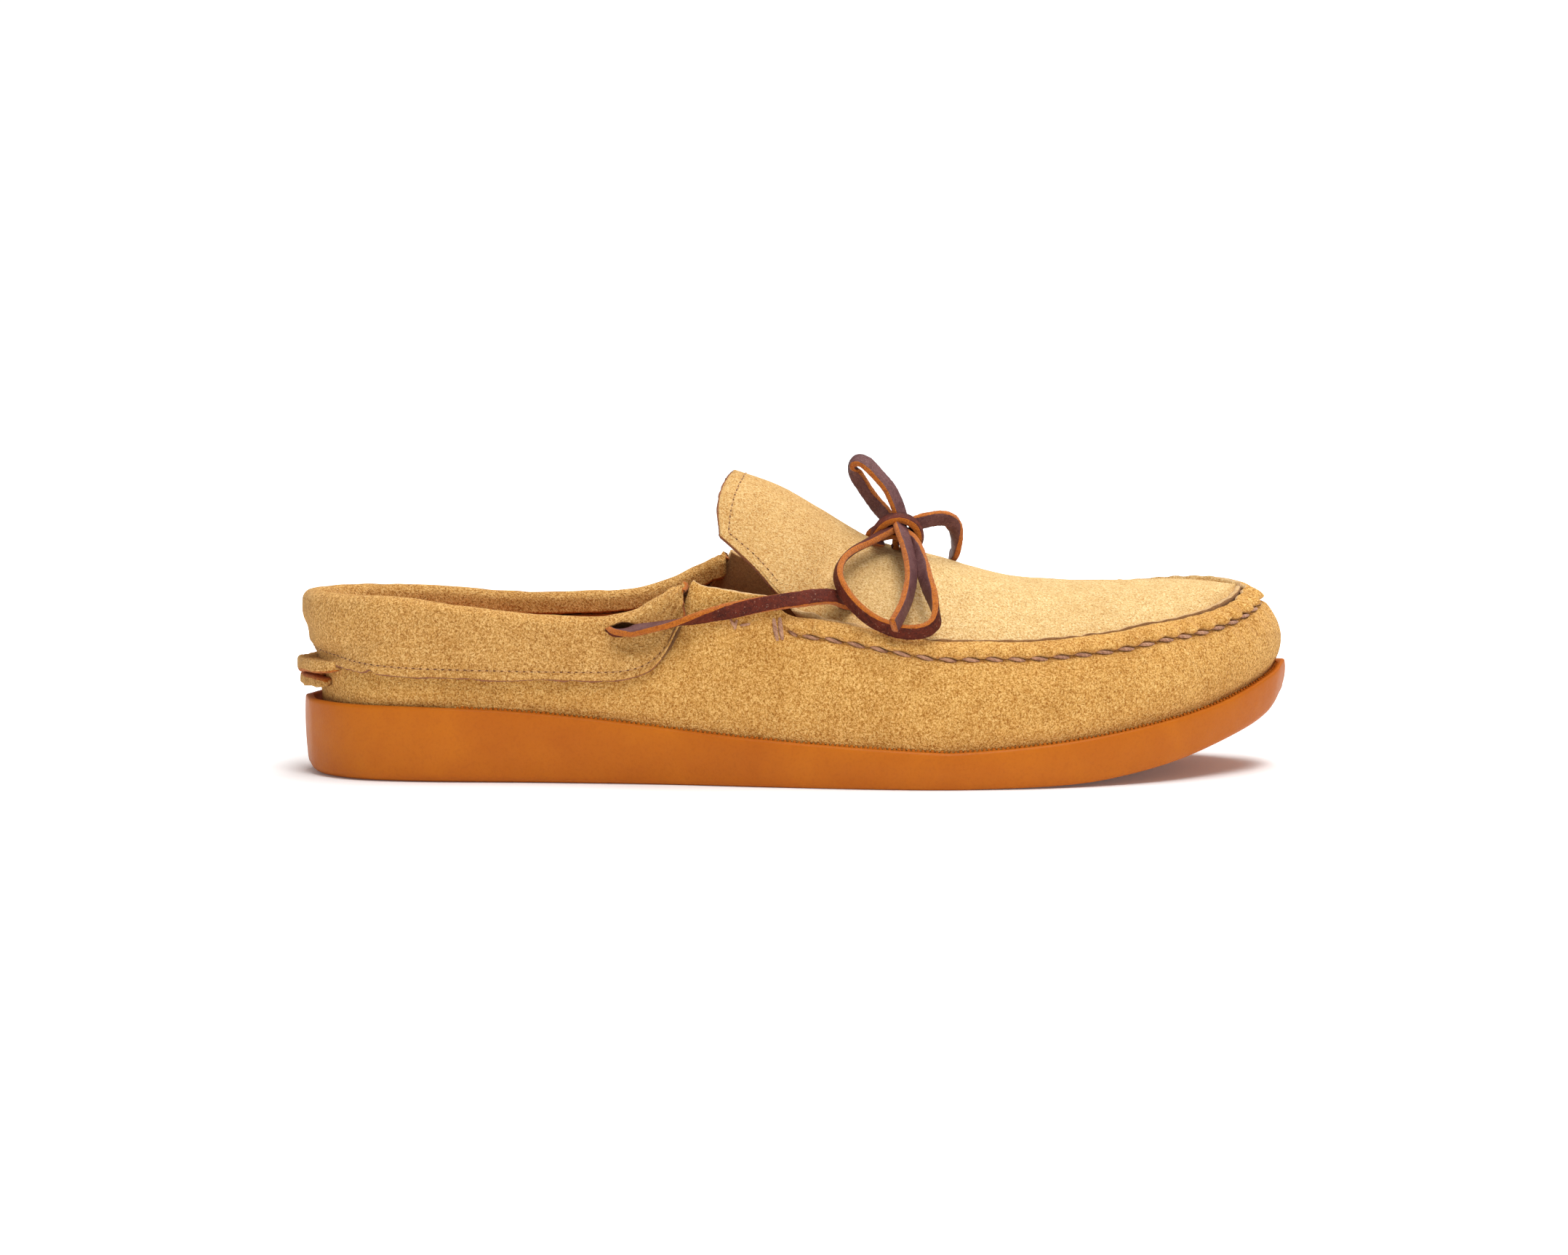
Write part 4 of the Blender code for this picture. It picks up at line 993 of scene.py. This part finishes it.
def apron_tongue():
    rows = top_panel()
    tongue_share = np.clip((np.arange(len(rows)) - 92) / 23, 0, 1)
    lip = step_up(rows[:, 0], THROAT_X - 2.0, THROAT_X + 6.0)
    count = 97
    w = np.sin(np.linspace(-math.pi / 2, math.pi / 2, count))
    swing = np.sin(math.pi * np.abs(w) ** 1.5)
    grid = []
    for r, f, k in zip(rows, tongue_share, lip):
        lateral, medial, crown, fullness = r[0:3], r[3:6], r[6:9], r[9]
        across = (medial - lateral) / np.linalg.norm(medial - lateral)
        up = np.array([0, 0, 1.0])
        near = lateral + k * (across * 1.3 - up * 2.2) + (1 - k) * across * 0.75
        far = medial - k * (across * 1.3 + up * 2.2) - (1 - k) * across * 0.75
        middle, half = (near + far) / 2, (far - near) / 2
        rise = 1 - np.abs(w) ** fullness
        panel = middle + half * w[:, None] + rise[:, None] * (crown - middle)
        panel[:, 0] -= TONGUE_BOW * f**3 * swing
        beat_near = math.cos(2 * math.pi * float(seam_phase(r[10])))
        beat_far = math.cos(2 * math.pi * float(seam_phase(r[11])))
        d_near = np.linalg.norm(panel - near, axis=1)
        d_far = np.linalg.norm(panel - far, axis=1)
        pleat = beat_near * np.exp(-d_near / 3.4) + beat_far * np.exp(-d_far / 3.4)
        panel[:, 2] += k * 0.3 * pleat * step_up(np.minimum(d_near, d_far), 0.0, 1.0)

        def lip_columns(edge, inwards, beat, rim, slope):
            jitter = 0.25 * wave_noise(edge[0] + 300, 2.2, 7.0) + 0.15 * beat
            top = k * (edge + up * (1.25 + jitter)) + (1 - k) * (rim + slope * 0.75)
            bend = k * (edge + up * 0.2) + (1 - k) * (rim + slope * 0.5)
            foot = k * (edge + inwards * 0.35 - up * 1.5) + (1 - k) * (rim + slope * 0.25)
            return [top, bend, foot]

        slopes = [d / np.linalg.norm(d) for d in (panel[0] - panel[5], panel[-1] - panel[-6])]
        left = lip_columns(lateral, across, beat_near, panel[0], slopes[0])
        right = lip_columns(medial, -across, beat_far, panel[-1], slopes[1])[::-1]
        grid.append([*left, *panel, *right])
    grid = np.array(grid)
    n = facing(grid, upwards)
    calm = np.ones(grid.shape[1])
    calm[:4], calm[-4:] = 0.0, 0.0
    uneven = 0.55 * noise(grid, 24.0, 5.0) + 0.22 * noise(grid, 9.0, 6.0) + 0.05 * noise(grid, 3.0)
    fold = crease(grid, [(2, -33, 55), (10, -26, 63), (19, -16, 68)], 2.6) * 0.9
    fold += crease(grid, [(20, -34, 52), (24, -24, 58), (30, -14, 63)], 3.0) * 0.8
    fold += crease(grid, [(4, 30, 58), (14, 22, 65), (22, 12, 68)], 2.6) * 0.8
    grid += n * ((uneven - fold) * calm)[..., None]
    thickness = APRON_SUEDE + (TONGUE_SUEDE - APRON_SUEDE) * step_up(tongue_share, 0.0, 0.4)
    return grid, thickness, tongue_share


def crease(points, route, width):
    """How strongly each point lies in a soft fold along the route."""
    line = along(smooth_line(route), np.linspace(0, 1, 24))
    nearest = np.full(points.shape[:-1], 1e9)
    fade = np.zeros(points.shape[:-1])
    for k, q in enumerate(line):
        d = np.linalg.norm(points - q, axis=-1)
        closer = d < nearest
        nearest = np.where(closer, d, nearest)
        fade = np.where(closer, math.sin(math.pi * (k + 0.5) / 24) ** 0.6, fade)
    return fade * np.exp(-((nearest / width) ** 2))


def top_skin():
    grid, thickness, tongue_share = apron_tongue()
    obj = leather("apron_and_tongue", grid, upwards, thickness[:, None],
                  [top_suede_painted_lit, suede_back, pale_edge], fray=0.18,
                  flat_rows=np.flatnonzero(tongue_share > 0))
    obj.data.materials.append(collar_edge)
    behind_throat, bend = row((THROAT_X - 4.0, 0, 0))[0], row((THROAT_X + 26.0, 0, 0))[0]
    for face in obj.data.polygons:
        x, y = face.center[:2]
        if face.material_index == 2 and x < behind_throat:
            face.material_index = 3
        # The back of the apron's lip near the throat, seen over the ridge, is given the pale edge colour:
        # painted highlight.
        elif face.material_index == 1 and behind_throat < x < bend and abs(y) > THROAT_HALF:
            face.material_index = 2
    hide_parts("apron", "tongue")
    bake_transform(obj)
    tongue_stitches(grid, tongue_share)
    return obj


def tongue_stitches(grid, tongue_share):
    """The machine-sewn row that follows the tongue's side and end edges."""
    n = facing(grid, upwards)
    first = int(np.argmax(tongue_share > 0.0)) + 2
    last = len(grid) - 1

    def inside(k, distance, flip):
        line = grid[k][::-1] if flip else grid[k]
        travel = np.concatenate([[0], np.cumsum(np.linalg.norm(np.diff(line, axis=0), axis=1))])
        normals = n[k][::-1] if flip else n[k]
        p = np.array([np.interp(distance, travel, line[:, c]) for c in range(3)])
        q = np.array([np.interp(distance, travel, normals[:, c]) for c in range(3)])
        return p, q / np.linalg.norm(q)

    middle = grid[:, 48]
    from_tip = np.linalg.norm(middle - middle[-1], axis=1)
    end_row = last - int(np.argmax(from_tip[::-1] > TONGUE_ROW_INSET))
    side_columns = [int(np.argmin(np.abs(np.linalg.norm(grid[end_row] - grid[end_row, c], axis=1)
                                         - TONGUE_ROW_INSET
                                         + 99.0 * (np.arange(103) * w > 51 * w))))
                    for c, w in ((0, 1), (102, -1))]
    route = [inside(k, TONGUE_ROW_INSET, False) for k in range(first, end_row)]
    route += [(grid[end_row, c], n[end_row, c]) for c in range(side_columns[0], side_columns[1])]
    route += [inside(k, TONGUE_ROW_INSET, True) for k in range(end_row - 1, first, -1)]
    machine_row("tongue_row", np.array([p for p, q in route]), np.array([q for p, q in route]),
                TONGUE_PITCH, "tongue_thread", "tongue_flap")


def machine_row(name, route, normals, pitch, node, body):
    """Fine machine stitches along a route on a surface, each between two needle holes drawn as short dark
    tubes: painted shade in the holes.
    """
    travel = np.concatenate([[0], np.cumsum(np.linalg.norm(np.diff(route, axis=0), axis=1))])
    number = round(travel[-1] / pitch)

    def spot(distance):
        p = np.array([np.interp(distance, travel, route[:, c]) for c in range(3)])
        q = np.array([np.interp(distance, travel, normals[:, c]) for c in range(3)])
        return p, q / np.linalg.norm(q)

    lines, radii, slots = [], [], []
    for k in range(number):
        a, na = spot((k + 0.26) / number * travel[-1])
        b, nb = spot((k + 0.74) / number * travel[-1])
        line, radius = capsule(a - na * 0.14, b - nb * 0.14, (na + nb) / 2 * 0.22, 0.24, 5)
        lines.append(line)
        radii.append(radius)
        slots.append(0)
        # A short dark tube across each needle hole: painted shade.
        a, na = spot(max(k - 0.19, 0) / number * travel[-1])
        b, nb = spot((k + 0.19) / number * travel[-1])
        line, radius = capsule(a - na * 0.06, b - nb * 0.06, na * 0.03, 0.23, 4)
        lines.append(line)
        radii.append(radius)
        slots.append(1)
    obj = tubes(name, lines, radii, [fine_thread, painted_recess_shade], sides=6, slots=slots)
    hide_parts(node)
    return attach(obj, body)


# --- the collar and heel ------------------------------------------------------------------------
COLLAR_COLUMNS = 300
COLLAR_ROWS = 60


def collar_grid():
    """The collar's outer face, as rows (lower edge to inner edge) by columns round the heel."""
    stations = collar_stations(COLLAR_COLUMNS)
    columns, travels = [], []
    for u in stations:
        line = along(smooth_line(collar_section(u), 6), np.linspace(0, 1, COLLAR_ROWS))
        columns.append(line)
        travels.append(np.concatenate(
            [[0], np.cumsum(np.linalg.norm(np.diff(line, axis=0), axis=1))]))
    grid, travel = np.stack(columns, 1), np.stack(travels, 1)
    outs = np.array([[*outward(u), 0.0] for u in stations])
    n = facing(grid, lambda g: np.where((np.arange(len(g)) < 8)[:, None, None], outs[None], 0.0))
    x, z = grid[..., 0], grid[..., 2]
    crest_x = np.array([collar_x(u, v) for u, v in zip(stations, x[COLLAR_ROWS // 2])])[None]
    heel = bump(crest_x, -143.0, 15.0)
    outer_face = travel < 15.0
    out = 1.7 * bump(z, 38.6, 2.8) * heel * outer_face
    out -= 1.2 * bump(z, 34.4, 1.0) * heel * outer_face
    for side in (-1, 1):
        fold = [(-139, side * 12, 36.0), (-129, side * 25, 37.5), (-114, side * 33.5, 42.0)]
        out -= 1.5 * crease(grid, fold, 2.2) * outer_face
        fold = [(-124, side * 29, 44), (-106, side * 34, 45.5), (-86, side * 35.5, 42.5)]
        out += 0.5 * crease(grid, fold, 4.0) * outer_face
    out += 0.35 * bump(travel, 0.6, 0.9) - 0.35 * bump(travel, 2.3, 0.7)
    end = step_up(crest_x, -40.5, -31.0)
    gathers = np.sin(2 * math.pi * (travel / 4.3 + 0.35 * noise(grid, 5.0, 8.0)))
    out += end * 0.5 * gathers * (travel < 22.0)
    out += 0.42 * noise(grid, 17.0, 9.0) + 0.2 * noise(grid, 6.0, 10.0)
    out += 0.06 * noise(grid, 2.4, 11.0)
    grid = grid + n * out[..., None]
    low_edge = step_up(2.5 - travel, 0.0, 2.5)
    grid[..., 2] += low_edge * (0.28 * noise(grid, 5.5, 12.0) + 0.14 * noise(grid, 1.7, 13.0))
    grid[..., 2] += low_edge * 1.1 * bump(x, -120.5, 1.1) * (grid[..., 1] < 0)
    return grid, n, travel


def collar():
    grid, n, travel = collar_grid()
    outs = np.array([[*outward(u), 0.0] for u in collar_stations(COLLAR_COLUMNS)])
    # The collar's edges take the dark edge colour: painted shade under its lower edge.
    obj = leather(
        "collar_band", grid,
        lambda g: np.where((np.arange(len(g)) < 8)[:, None, None], outs[None], 0.0),
        COLLAR_SUEDE, [collar_suede, suede_back, collar_edge], fray=0.2)
    for side, centre, tilt in (("lateral", (-48.6, -38.2, 43.9), 0.10),
                               ("medial", (-48.6, 35.4, 46.8), -0.10)):
        slit(obj, f"{side}_slit_cutter", centre, (6.0, 4.0, 2.2), tilt)
    obj.data.materials.append(orange_flesh)
    end_x, end_z = row((COLLAR_END_X - 6.0, 0, 45.0))[[0, 2]]
    for face in obj.data.polygons:
        if face.material_index == 2 and face.center.x > end_x and face.center.z > end_z:
            face.material_index = 3
    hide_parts("collar")
    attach(obj, "shoe")
    route, normals = [], []
    for c in range(6, COLLAR_COLUMNS - 6):
        route.append([np.interp(2.4, travel[:, c], grid[:, c, k]) for k in range(3)])
        normals.append([np.interp(2.4, travel[:, c], n[:, c, k]) for k in range(3)])
    machine_row("collar_row", np.array(route), np.array(normals), COLLAR_PITCH, "collar_thread",
                "shoe")


def slit(obj, name, centre, radii, tilt):
    """Cuts a lens-shaped slit through a piece and leaves it as plain mesh."""
    points, faces = [], []
    rings, sides = 9, 20
    for r in range(rings):
        a = math.pi * (r + 0.5) / rings
        for k in range(sides):
            b = 2 * math.pi * k / sides
            x, z = math.sin(a) * math.cos(b), math.sin(a) * math.sin(b)
            z *= 1 - 0.55 * abs(x)
            p = np.array([x * radii[0], math.cos(a) * radii[1], z * radii[2]])
            p = np.array([p[0] * math.cos(tilt) - p[2] * math.sin(tilt), p[1],
                          p[0] * math.sin(tilt) + p[2] * math.cos(tilt)])
            points.append(p + np.array(centre))
    for r in range(rings - 1):
        for k in range(sides):
            m = (k + 1) % sides
            faces.append((r * sides + k, r * sides + m, (r + 1) * sides + m, (r + 1) * sides + k))
    faces += [tuple(range(sides))[::-1], tuple((rings - 1) * sides + k for k in range(sides))]
    cutter = mesh_piece(name, np.array(points), faces, [orange_flesh])
    turn_out(cutter)
    cut = obj.modifiers.new("slit", "BOOLEAN")
    cut.operation = "DIFFERENCE"
    cut.solver = "EXACT"
    cut.object = cutter
    bpy.context.view_layer.update()
    done = bpy.data.meshes.new_from_object(obj.evaluated_get(bpy.context.evaluated_depsgraph_get()))
    obj.modifiers.clear()
    obj.data = done
    done.shade_smooth()
    bpy.data.objects.remove(cutter)


def heel_lip(name, node, middle_z, thickness, reach, half_span, orange_side):
    """One of the two soft leather edges that stand out behind the heel's seam."""
    count, sides = 81, 20
    points, faces, slots = [], [], []
    for a in np.linspace(-1, 1, count):
        u = (a * half_span) % 1.0
        n = outward(np.array(u))
        out = 0.5 + reach * math.cos(a * math.pi / 2 * 0.999) ** 0.4
        half = thickness / 2 * (0.4 + 0.6 * math.cos(a * math.pi / 2 * 0.999) ** 0.3)
        z = middle_z + 0.5 * a * a * (1 if orange_side < 0 else -0.4)
        base = wall_at_height(u, z)[:2] + n * 0.25
        for k in range(sides):
            angle = 2 * math.pi * k / sides
            c, s = math.cos(angle), math.sin(angle)
            along_n = out / 2 * (1 + math.copysign(abs(c) ** 0.35, c))
            up = half * math.copysign(abs(s) ** 0.5, s)
            points.append((*(base + n * along_n), z + up - 0.5 * (1 + c) / 2))
    points = np.array(points)
    rough = 0.30 * noise(points, 4.5, 14.0) + 0.22 * noise(points, 1.5, 15.0)
    points += rough[:, None] * np.array([0.7, 0.7, 1.0])
    for i in range(count - 1):
        for k in range(sides):
            m = (k + 1) % sides
            faces.append((i * sides + k, i * sides + m, (i + 1) * sides + m, (i + 1) * sides + k))
            slots.append(1 if orange_side * math.sin(2 * math.pi * (k + 0.5) / sides) > 0.45 else 0)
    faces += [tuple(range(sides))[::-1], tuple((count - 1) * sides + k for k in range(sides))]
    slots += [0, 0]
    obj = mesh_piece(name, points, faces, [collar_suede, orange_flesh], slots)
    turn_out(obj)
    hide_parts(node)
    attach(obj, "shoe")


def heel_core():
    """The raw orange ends of the heel's seam, between the two lips."""
    lines, radii = [], []
    for y in np.linspace(-9.0, 9.0, 13):
        u = (0.5 * y / 200.0) % 1.0
        base = wall_at_height(u, 29.3)
        n = np.array([*outward(np.array(u)), 0.0])
        reach = 4.4 * math.cos(y / 9.6 * math.pi / 2) ** 0.5 + 0.3
        lines.append(np.array([base - n * 0.4, base + n * reach * 0.6, base + n * reach]))
        radii.append(np.array([0.9, 0.85, 0.5]))
    obj = tubes("heel_seam_ends", lines, radii, [orange_flesh], sides=8)
    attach(obj, "shoe")


def heel_lining():
    a, b = u_at_x(LINING_END_X), u_at_x(LINING_END_X, medial=True)
    columns = []
    for u in [v % 1.0 for v in np.linspace(a, b - 1, 140)]:
        n = outward(np.array(u))
        base = float(platform(sole_x(np.array(u)))) + 2 * GAP + SUEDE + FOAM + GAP + SOCK + GAP
        crest, _, back = collar_crest(np.array(u))
        top = crest[2] - collar_depth(back) - 1.0
        column = []
        for z in np.linspace(base + 0.2, top, 8):
            p = wall_at_height(u, z)
            column.append((*(p[:2] - n * (SUEDE + 1.0)), z))
        columns.append(column)
    grid = np.swapaxes(np.array(columns), 0, 1)
    grid[..., :2] += 0.1 * noise(grid, 12.0, 17.0)[..., None]
    obj = leather("heel_lining_leather", grid, lambda g: -away_from_foot(g), 0.9,
                  [lining_leather, suede_back, raw_edge], fray=0.05)
    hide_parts("heel_lining")
    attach(obj, "shoe")


# --- the lace -----------------------------------------------------------------------------------
def strap(name, route, turns, count, looks, width=LACE_WIDTH, thick=LACE_THICKNESS, close=False):
    """A flat thong along a route; turns are (share of its length, direction its first face looks).

    looks are its first face, its other face and its cut edges.
    """
    line = along(smooth_line(route), np.linspace(0, 1, count))
    share = np.linspace(0, 1, count)
    t = np.gradient(line, axis=0)
    t /= np.linalg.norm(t, axis=1, keepdims=True)
    stops = [s for s, d in turns]
    face = np.stack([np.interp(share, stops, [d[k] for s, d in turns]) for k in range(3)], 1)
    face -= t * np.sum(face * t, axis=1, keepdims=True)
    face /= np.linalg.norm(face, axis=1, keepdims=True)
    across = np.cross(t, face)
    outline = []
    for degrees in range(0, 360, 20):
        a = math.radians(degrees)
        c, s = math.cos(a), math.sin(a)
        outline.append((math.copysign(abs(c) ** 0.32, c), math.copysign(abs(s) ** 0.45, s)))
    sides = len(outline)
    travel = share * np.linalg.norm(np.diff(line, axis=0), axis=1).sum()
    wide = width / 2 * (1 + 0.05 * wave_noise(travel + 40, 5.0, len(name)))
    deep = thick / 2 * (1 + 0.08 * wave_noise(travel + 90, 4.0, len(name) + 3))
    points, faces, slots = [], [], []
    for k in range(count):
        for a, b in outline:
            rough = 0.05 * wave_noise(np.array([travel[k] * 2.3 + a * 5 + b * 3]), 1.0)[0]
            points.append(line[k] + across[k] * wide[k] * a * (1 + rough) + face[k] * deep[k] * b)
    for k in range(count - 1):
        for i in range(sides):
            j = (i + 1) % sides
            faces.append((k * sides + i, k * sides + j, (k + 1) * sides + j, (k + 1) * sides + i))
            high, low = min(outline[i][1], outline[j][1]), max(outline[i][1], outline[j][1])
            slots.append(0 if high > 0.7 else 1 if low < -0.7 else 2)
    faces += [tuple(range(sides))[::-1], tuple((count - 1) * sides + i for i in range(sides))]
    slots += [2, 2]
    obj = mesh_piece(name, np.array(points), faces, looks, slots)
    turn_out(obj)
    return obj, line


LACE_LOOKS = [lace_rough, lace_smooth, orange_flesh]
SMOOTH_SIDE_OUT = [lace_smooth, lace_rough, orange_flesh]


def lace_piece(name, node, route, turns, count, looks=None):
    obj, line = strap(name, route, turns, count, looks or LACE_LOOKS)
    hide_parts(node)
    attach(obj, "shoe")
    return obj


def lace():
    knot = bow_knot()
    lace_piece("lace_lateral", "lace_side_lateral", LATERAL_RUN, [
        (0.0, (0, -1, 0.1)), (0.045, (0, -0.9, -0.4)), (0.085, (0, -0.1, -1)),
        (0.12, (0, 0.5, -0.85)), (0.20, (0, 0.15, -1)), (0.29, (0, -0.65, -0.75)),
        (0.37, (0, -0.98, -0.2)), (0.46, (0, -0.93, 0.33)), (0.60, (-0.1, -0.86, 0.5)),
        (0.7, (-0.5, -0.5, 0.7)), (0.82, (-0.9, 0, 0.4)), (1.0, (-0.6, 0, 0.8))],
        170)
    lace_piece("lace_medial", "lace_side_medial", MEDIAL_RUN, [
        (0.0, (0, 1, 0.1)), (0.045, (0, 0.9, -0.4)), (0.085, (0, 0.1, -1)),
        (0.12, (0, -0.5, -0.85)), (0.20, (0, -0.15, -1)), (0.29, (0, 0.65, -0.75)),
        (0.37, (0, 0.98, -0.2)), (0.46, (0, 0.93, 0.33)), (0.60, (-0.1, 0.86, 0.5)),
        (0.7, (-0.5, 0.5, 0.7)), (0.82, (-0.9, 0, 0.4)), (1.0, (-0.3, 0, 1))],
        170)
    lace_piece("loop_near", "bow_loop_near", NEAR_LOOP, [
        (0.0, (-0.4, -0.35, 0.85)), (0.14, (-0.55, -0.25, 0.8)), (0.24, (-0.85, -0.25, 0.4)),
        (0.33, (-0.96, -0.42, -0.1)), (0.43, (-0.6, -0.68, -0.6)), (0.55, (-0.2, -0.86, -0.55)),
        (0.63, (0.35, -0.82, -0.55)), (0.69, (0.85, -0.35, -0.45)), (0.75, (0.8, 0.7, -0.1)),
        (0.82, (0.25, 0.95, 0.1)), (0.92, (0.1, 0.9, 0.3)), (1.0, (0.1, 0.8, 0.5))],
        150)
    lace_piece("loop_far", "bow_loop_far", FAR_LOOP, [
        (0.0, (-0.75, -0.62, 0.2)), (0.25, (-0.8, -0.58, 0)), (0.42, (-0.75, -0.5, 0.5)),
        (0.55, (0.1, -0.6, 0.85)), (0.66, (0.66, -0.66, 0.5)), (1.0, (0.66, -0.72, 0.2))],
        100, looks=SMOOTH_SIDE_OUT)
    lace_piece("tail_near", "lace_tail_near", NEAR_TAIL, [
        (0.0, (0.55, -0.7, 0.5)), (0.3, (0.62, -0.78, 0.1)), (0.7, (0.66, -0.74, -0.1)),
        (1.0, (0.72, -0.66, -0.2))],
        90, looks=SMOOTH_SIDE_OUT)
    lace_piece("tail_far", "lace_tail_far", FAR_TAIL, [
        (0.0, (0, -0.85, -0.5)), (0.3, (0, -0.88, -0.48)), (0.45, (0.1, -0.8, -0.6)),
        (0.56, (-0.6, -0.8, 0.1)), (0.7, (-0.8, -0.6, 0.2)), (1.0, (-0.8, -0.5, 0.3))],
        90, looks=SMOOTH_SIDE_OUT)


def bow_knot():
    """The lace wrapped round the bow's middle, open in front where the other strands come out."""
    c = np.array(KNOT_CENTRE)

    def wrap(name, route, turns):
        piece = strap(name, [c + p for p in route], turns, 90, LACE_LOOKS)[0]
        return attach(piece, "shoe")

    front = wrap("bow_wrap_front", [
        (-5.4, 1.6, -3.6), (-7.2, -1.4, -2.2), (-6.4, -3.0, -0.2), (-4.0, -3.8, 2.2),
        (-0.6, -4.2, 3.4), (2.6, -4.0, 2.8), (5.2, -3.4, 0.6), (6.0, -2.8, -2.6),
        (4.8, -1.6, -5.2), (2.2, 0.8, -5.8)], [
        (0.0, (-0.9, 0.1, -0.5)), (0.16, (-0.9, -0.2, 0.35)), (0.34, (-0.5, -0.25, 0.85)),
        (0.5, (0.05, -0.3, 0.95)), (0.62, (0.6, -0.25, 0.75)), (0.74, (0.95, -0.2, 0.2)),
        (0.86, (0.9, -0.2, -0.45)), (1.0, (0.4, 0.1, -0.9))])
    wrap("bow_wrap_back", [
        (-5.2, 3.4, -3.8), (-6.2, 2.0, -0.4), (-4.0, 1.0, 2.6), (0.0, 0.4, 3.8),
        (4.0, 0.8, 2.4), (5.6, 1.6, -0.8), (4.4, 2.6, -4.0), (0.6, 3.2, -5.0)], [
        (0.0, (-0.9, 0.1, -0.5)), (0.25, (-0.8, 0, 0.6)), (0.45, (0, 0, 1)),
        (0.65, (0.85, 0, 0.5)), (0.82, (0.9, 0, -0.5)), (1.0, (0.2, 0, -1))])
    wrap("bow_core", [(-4.6, 1.6, -1.6), (-1.6, 0.2, -1.0), (1.6, -0.6, -1.4), (4.4, -0.6, -2.4)],
         [(0, (0, -0.6, 0.8)), (1, (0.2, -0.7, 0.6))])
    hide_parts("bow_knot")
    return front


def hidden_lace():
    """The lace where it runs inside the collar's roll: the frame's own node, in leather."""
    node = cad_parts["lace_collar_run"]
    node.data.materials.clear()
    node.data.materials.append(lace_rough)


# --- the studio ---------------------------------------------------------------------------------
AMBIENT = 0.33  # how strongly the room lights the shoe from all round


def studio():
    scene = bpy.context.scene
    camera = bpy.data.cameras.new("photo_view")
    camera.lens = 77.26
    camera.sensor_width = 36.0
    camera.clip_end = 20.0
    eye = bpy.data.objects.new("photo_view", camera)
    scene.collection.objects.link(eye)
    place, target = row((-3.2, -980.0, 121.0)), row((-3.2, 0.0, 41.3))
    eye.location = place
    eye.rotation_euler = Vector(target - place).to_track_quat("-Z", "Y").to_euler()
    scene.camera = eye

    floor_look = Look("floor")
    spread = floor_look.node("ShaderNodeVectorMath", {0: floor_look.coordinates},
                             operation="LENGTH").outputs["Value"]
    glow = floor_look.node("ShaderNodeMapRange", {
        "Value": spread, "From Min": 0.18, "From Max": 0.55, "To Min": 0.06, "To Max": 1.0})
    floor_look.finish(base=(0.95, 0.95, 0.95, 1), roughness=0.8, specular=0.0)
    floor_look.shader.inputs["Emission Color"].default_value = (1.0, 1.0, 1.0, 1)
    floor_look.tree.links.new(glow.outputs["Result"],
                              floor_look.shader.inputs["Emission Strength"])
    mesh = bpy.data.meshes.new("floor")
    s = 6.0
    mesh.from_pydata([(-s, -s, 0), (s, -s, 0), (s, s, 0), (-s, s, 0)], [], [(0, 1, 2, 3)])
    mesh.materials.append(floor_look.material)
    floor = bpy.data.objects.new("floor", mesh)
    scene.collection.objects.link(floor)

    world = bpy.data.worlds.new("studio")
    world.use_nodes = True
    nodes, links = world.node_tree.nodes, world.node_tree.links
    background = nodes["Background"]
    background.inputs["Color"].default_value = (1.0, 1.0, 1.0, 1)
    rays, strength = nodes.new("ShaderNodeLightPath"), nodes.new("ShaderNodeMapRange")
    links.new(rays.outputs["Is Camera Ray"], strength.inputs["Value"])
    strength.inputs["To Min"].default_value = AMBIENT
    strength.inputs["To Max"].default_value = 1.05
    links.new(strength.outputs["Result"], background.inputs["Strength"])
    scene.world = world
    for name, spot, size, power in (("key", (0.20, -0.62, 1.10), 0.5, 9.0),
                                    ("top", (0.16, 0.28, 1.25), 0.9, 14.0)):
        light = bpy.data.lights.new(name, "AREA")
        light.size = size
        light.energy = power
        lamp = bpy.data.objects.new(name, light)
        lamp.location = spot
        aim = Vector((0, 0, 0.04)) - Vector(spot)
        lamp.rotation_euler = aim.to_track_quat("-Z", "Y").to_euler()
        scene.collection.objects.link(lamp)
    scene.view_settings.view_transform = "Standard"


studio()
lace()
hidden_lace()
outsole()
rim_teeth()
insole()
vamp()
seam_stitches()
side_tacks()
top_skin()
collar()
heel_lip("heel_lip_upper", "heel_tab_upper", 31.5, 4.2, 6.1, 0.040, -1)
heel_lip("heel_lip_lower", "heel_tab_lower", 27.4, 3.5, 5.1, 0.032, 1)
heel_core()
heel_lining()

bpy.context.view_layer.update()
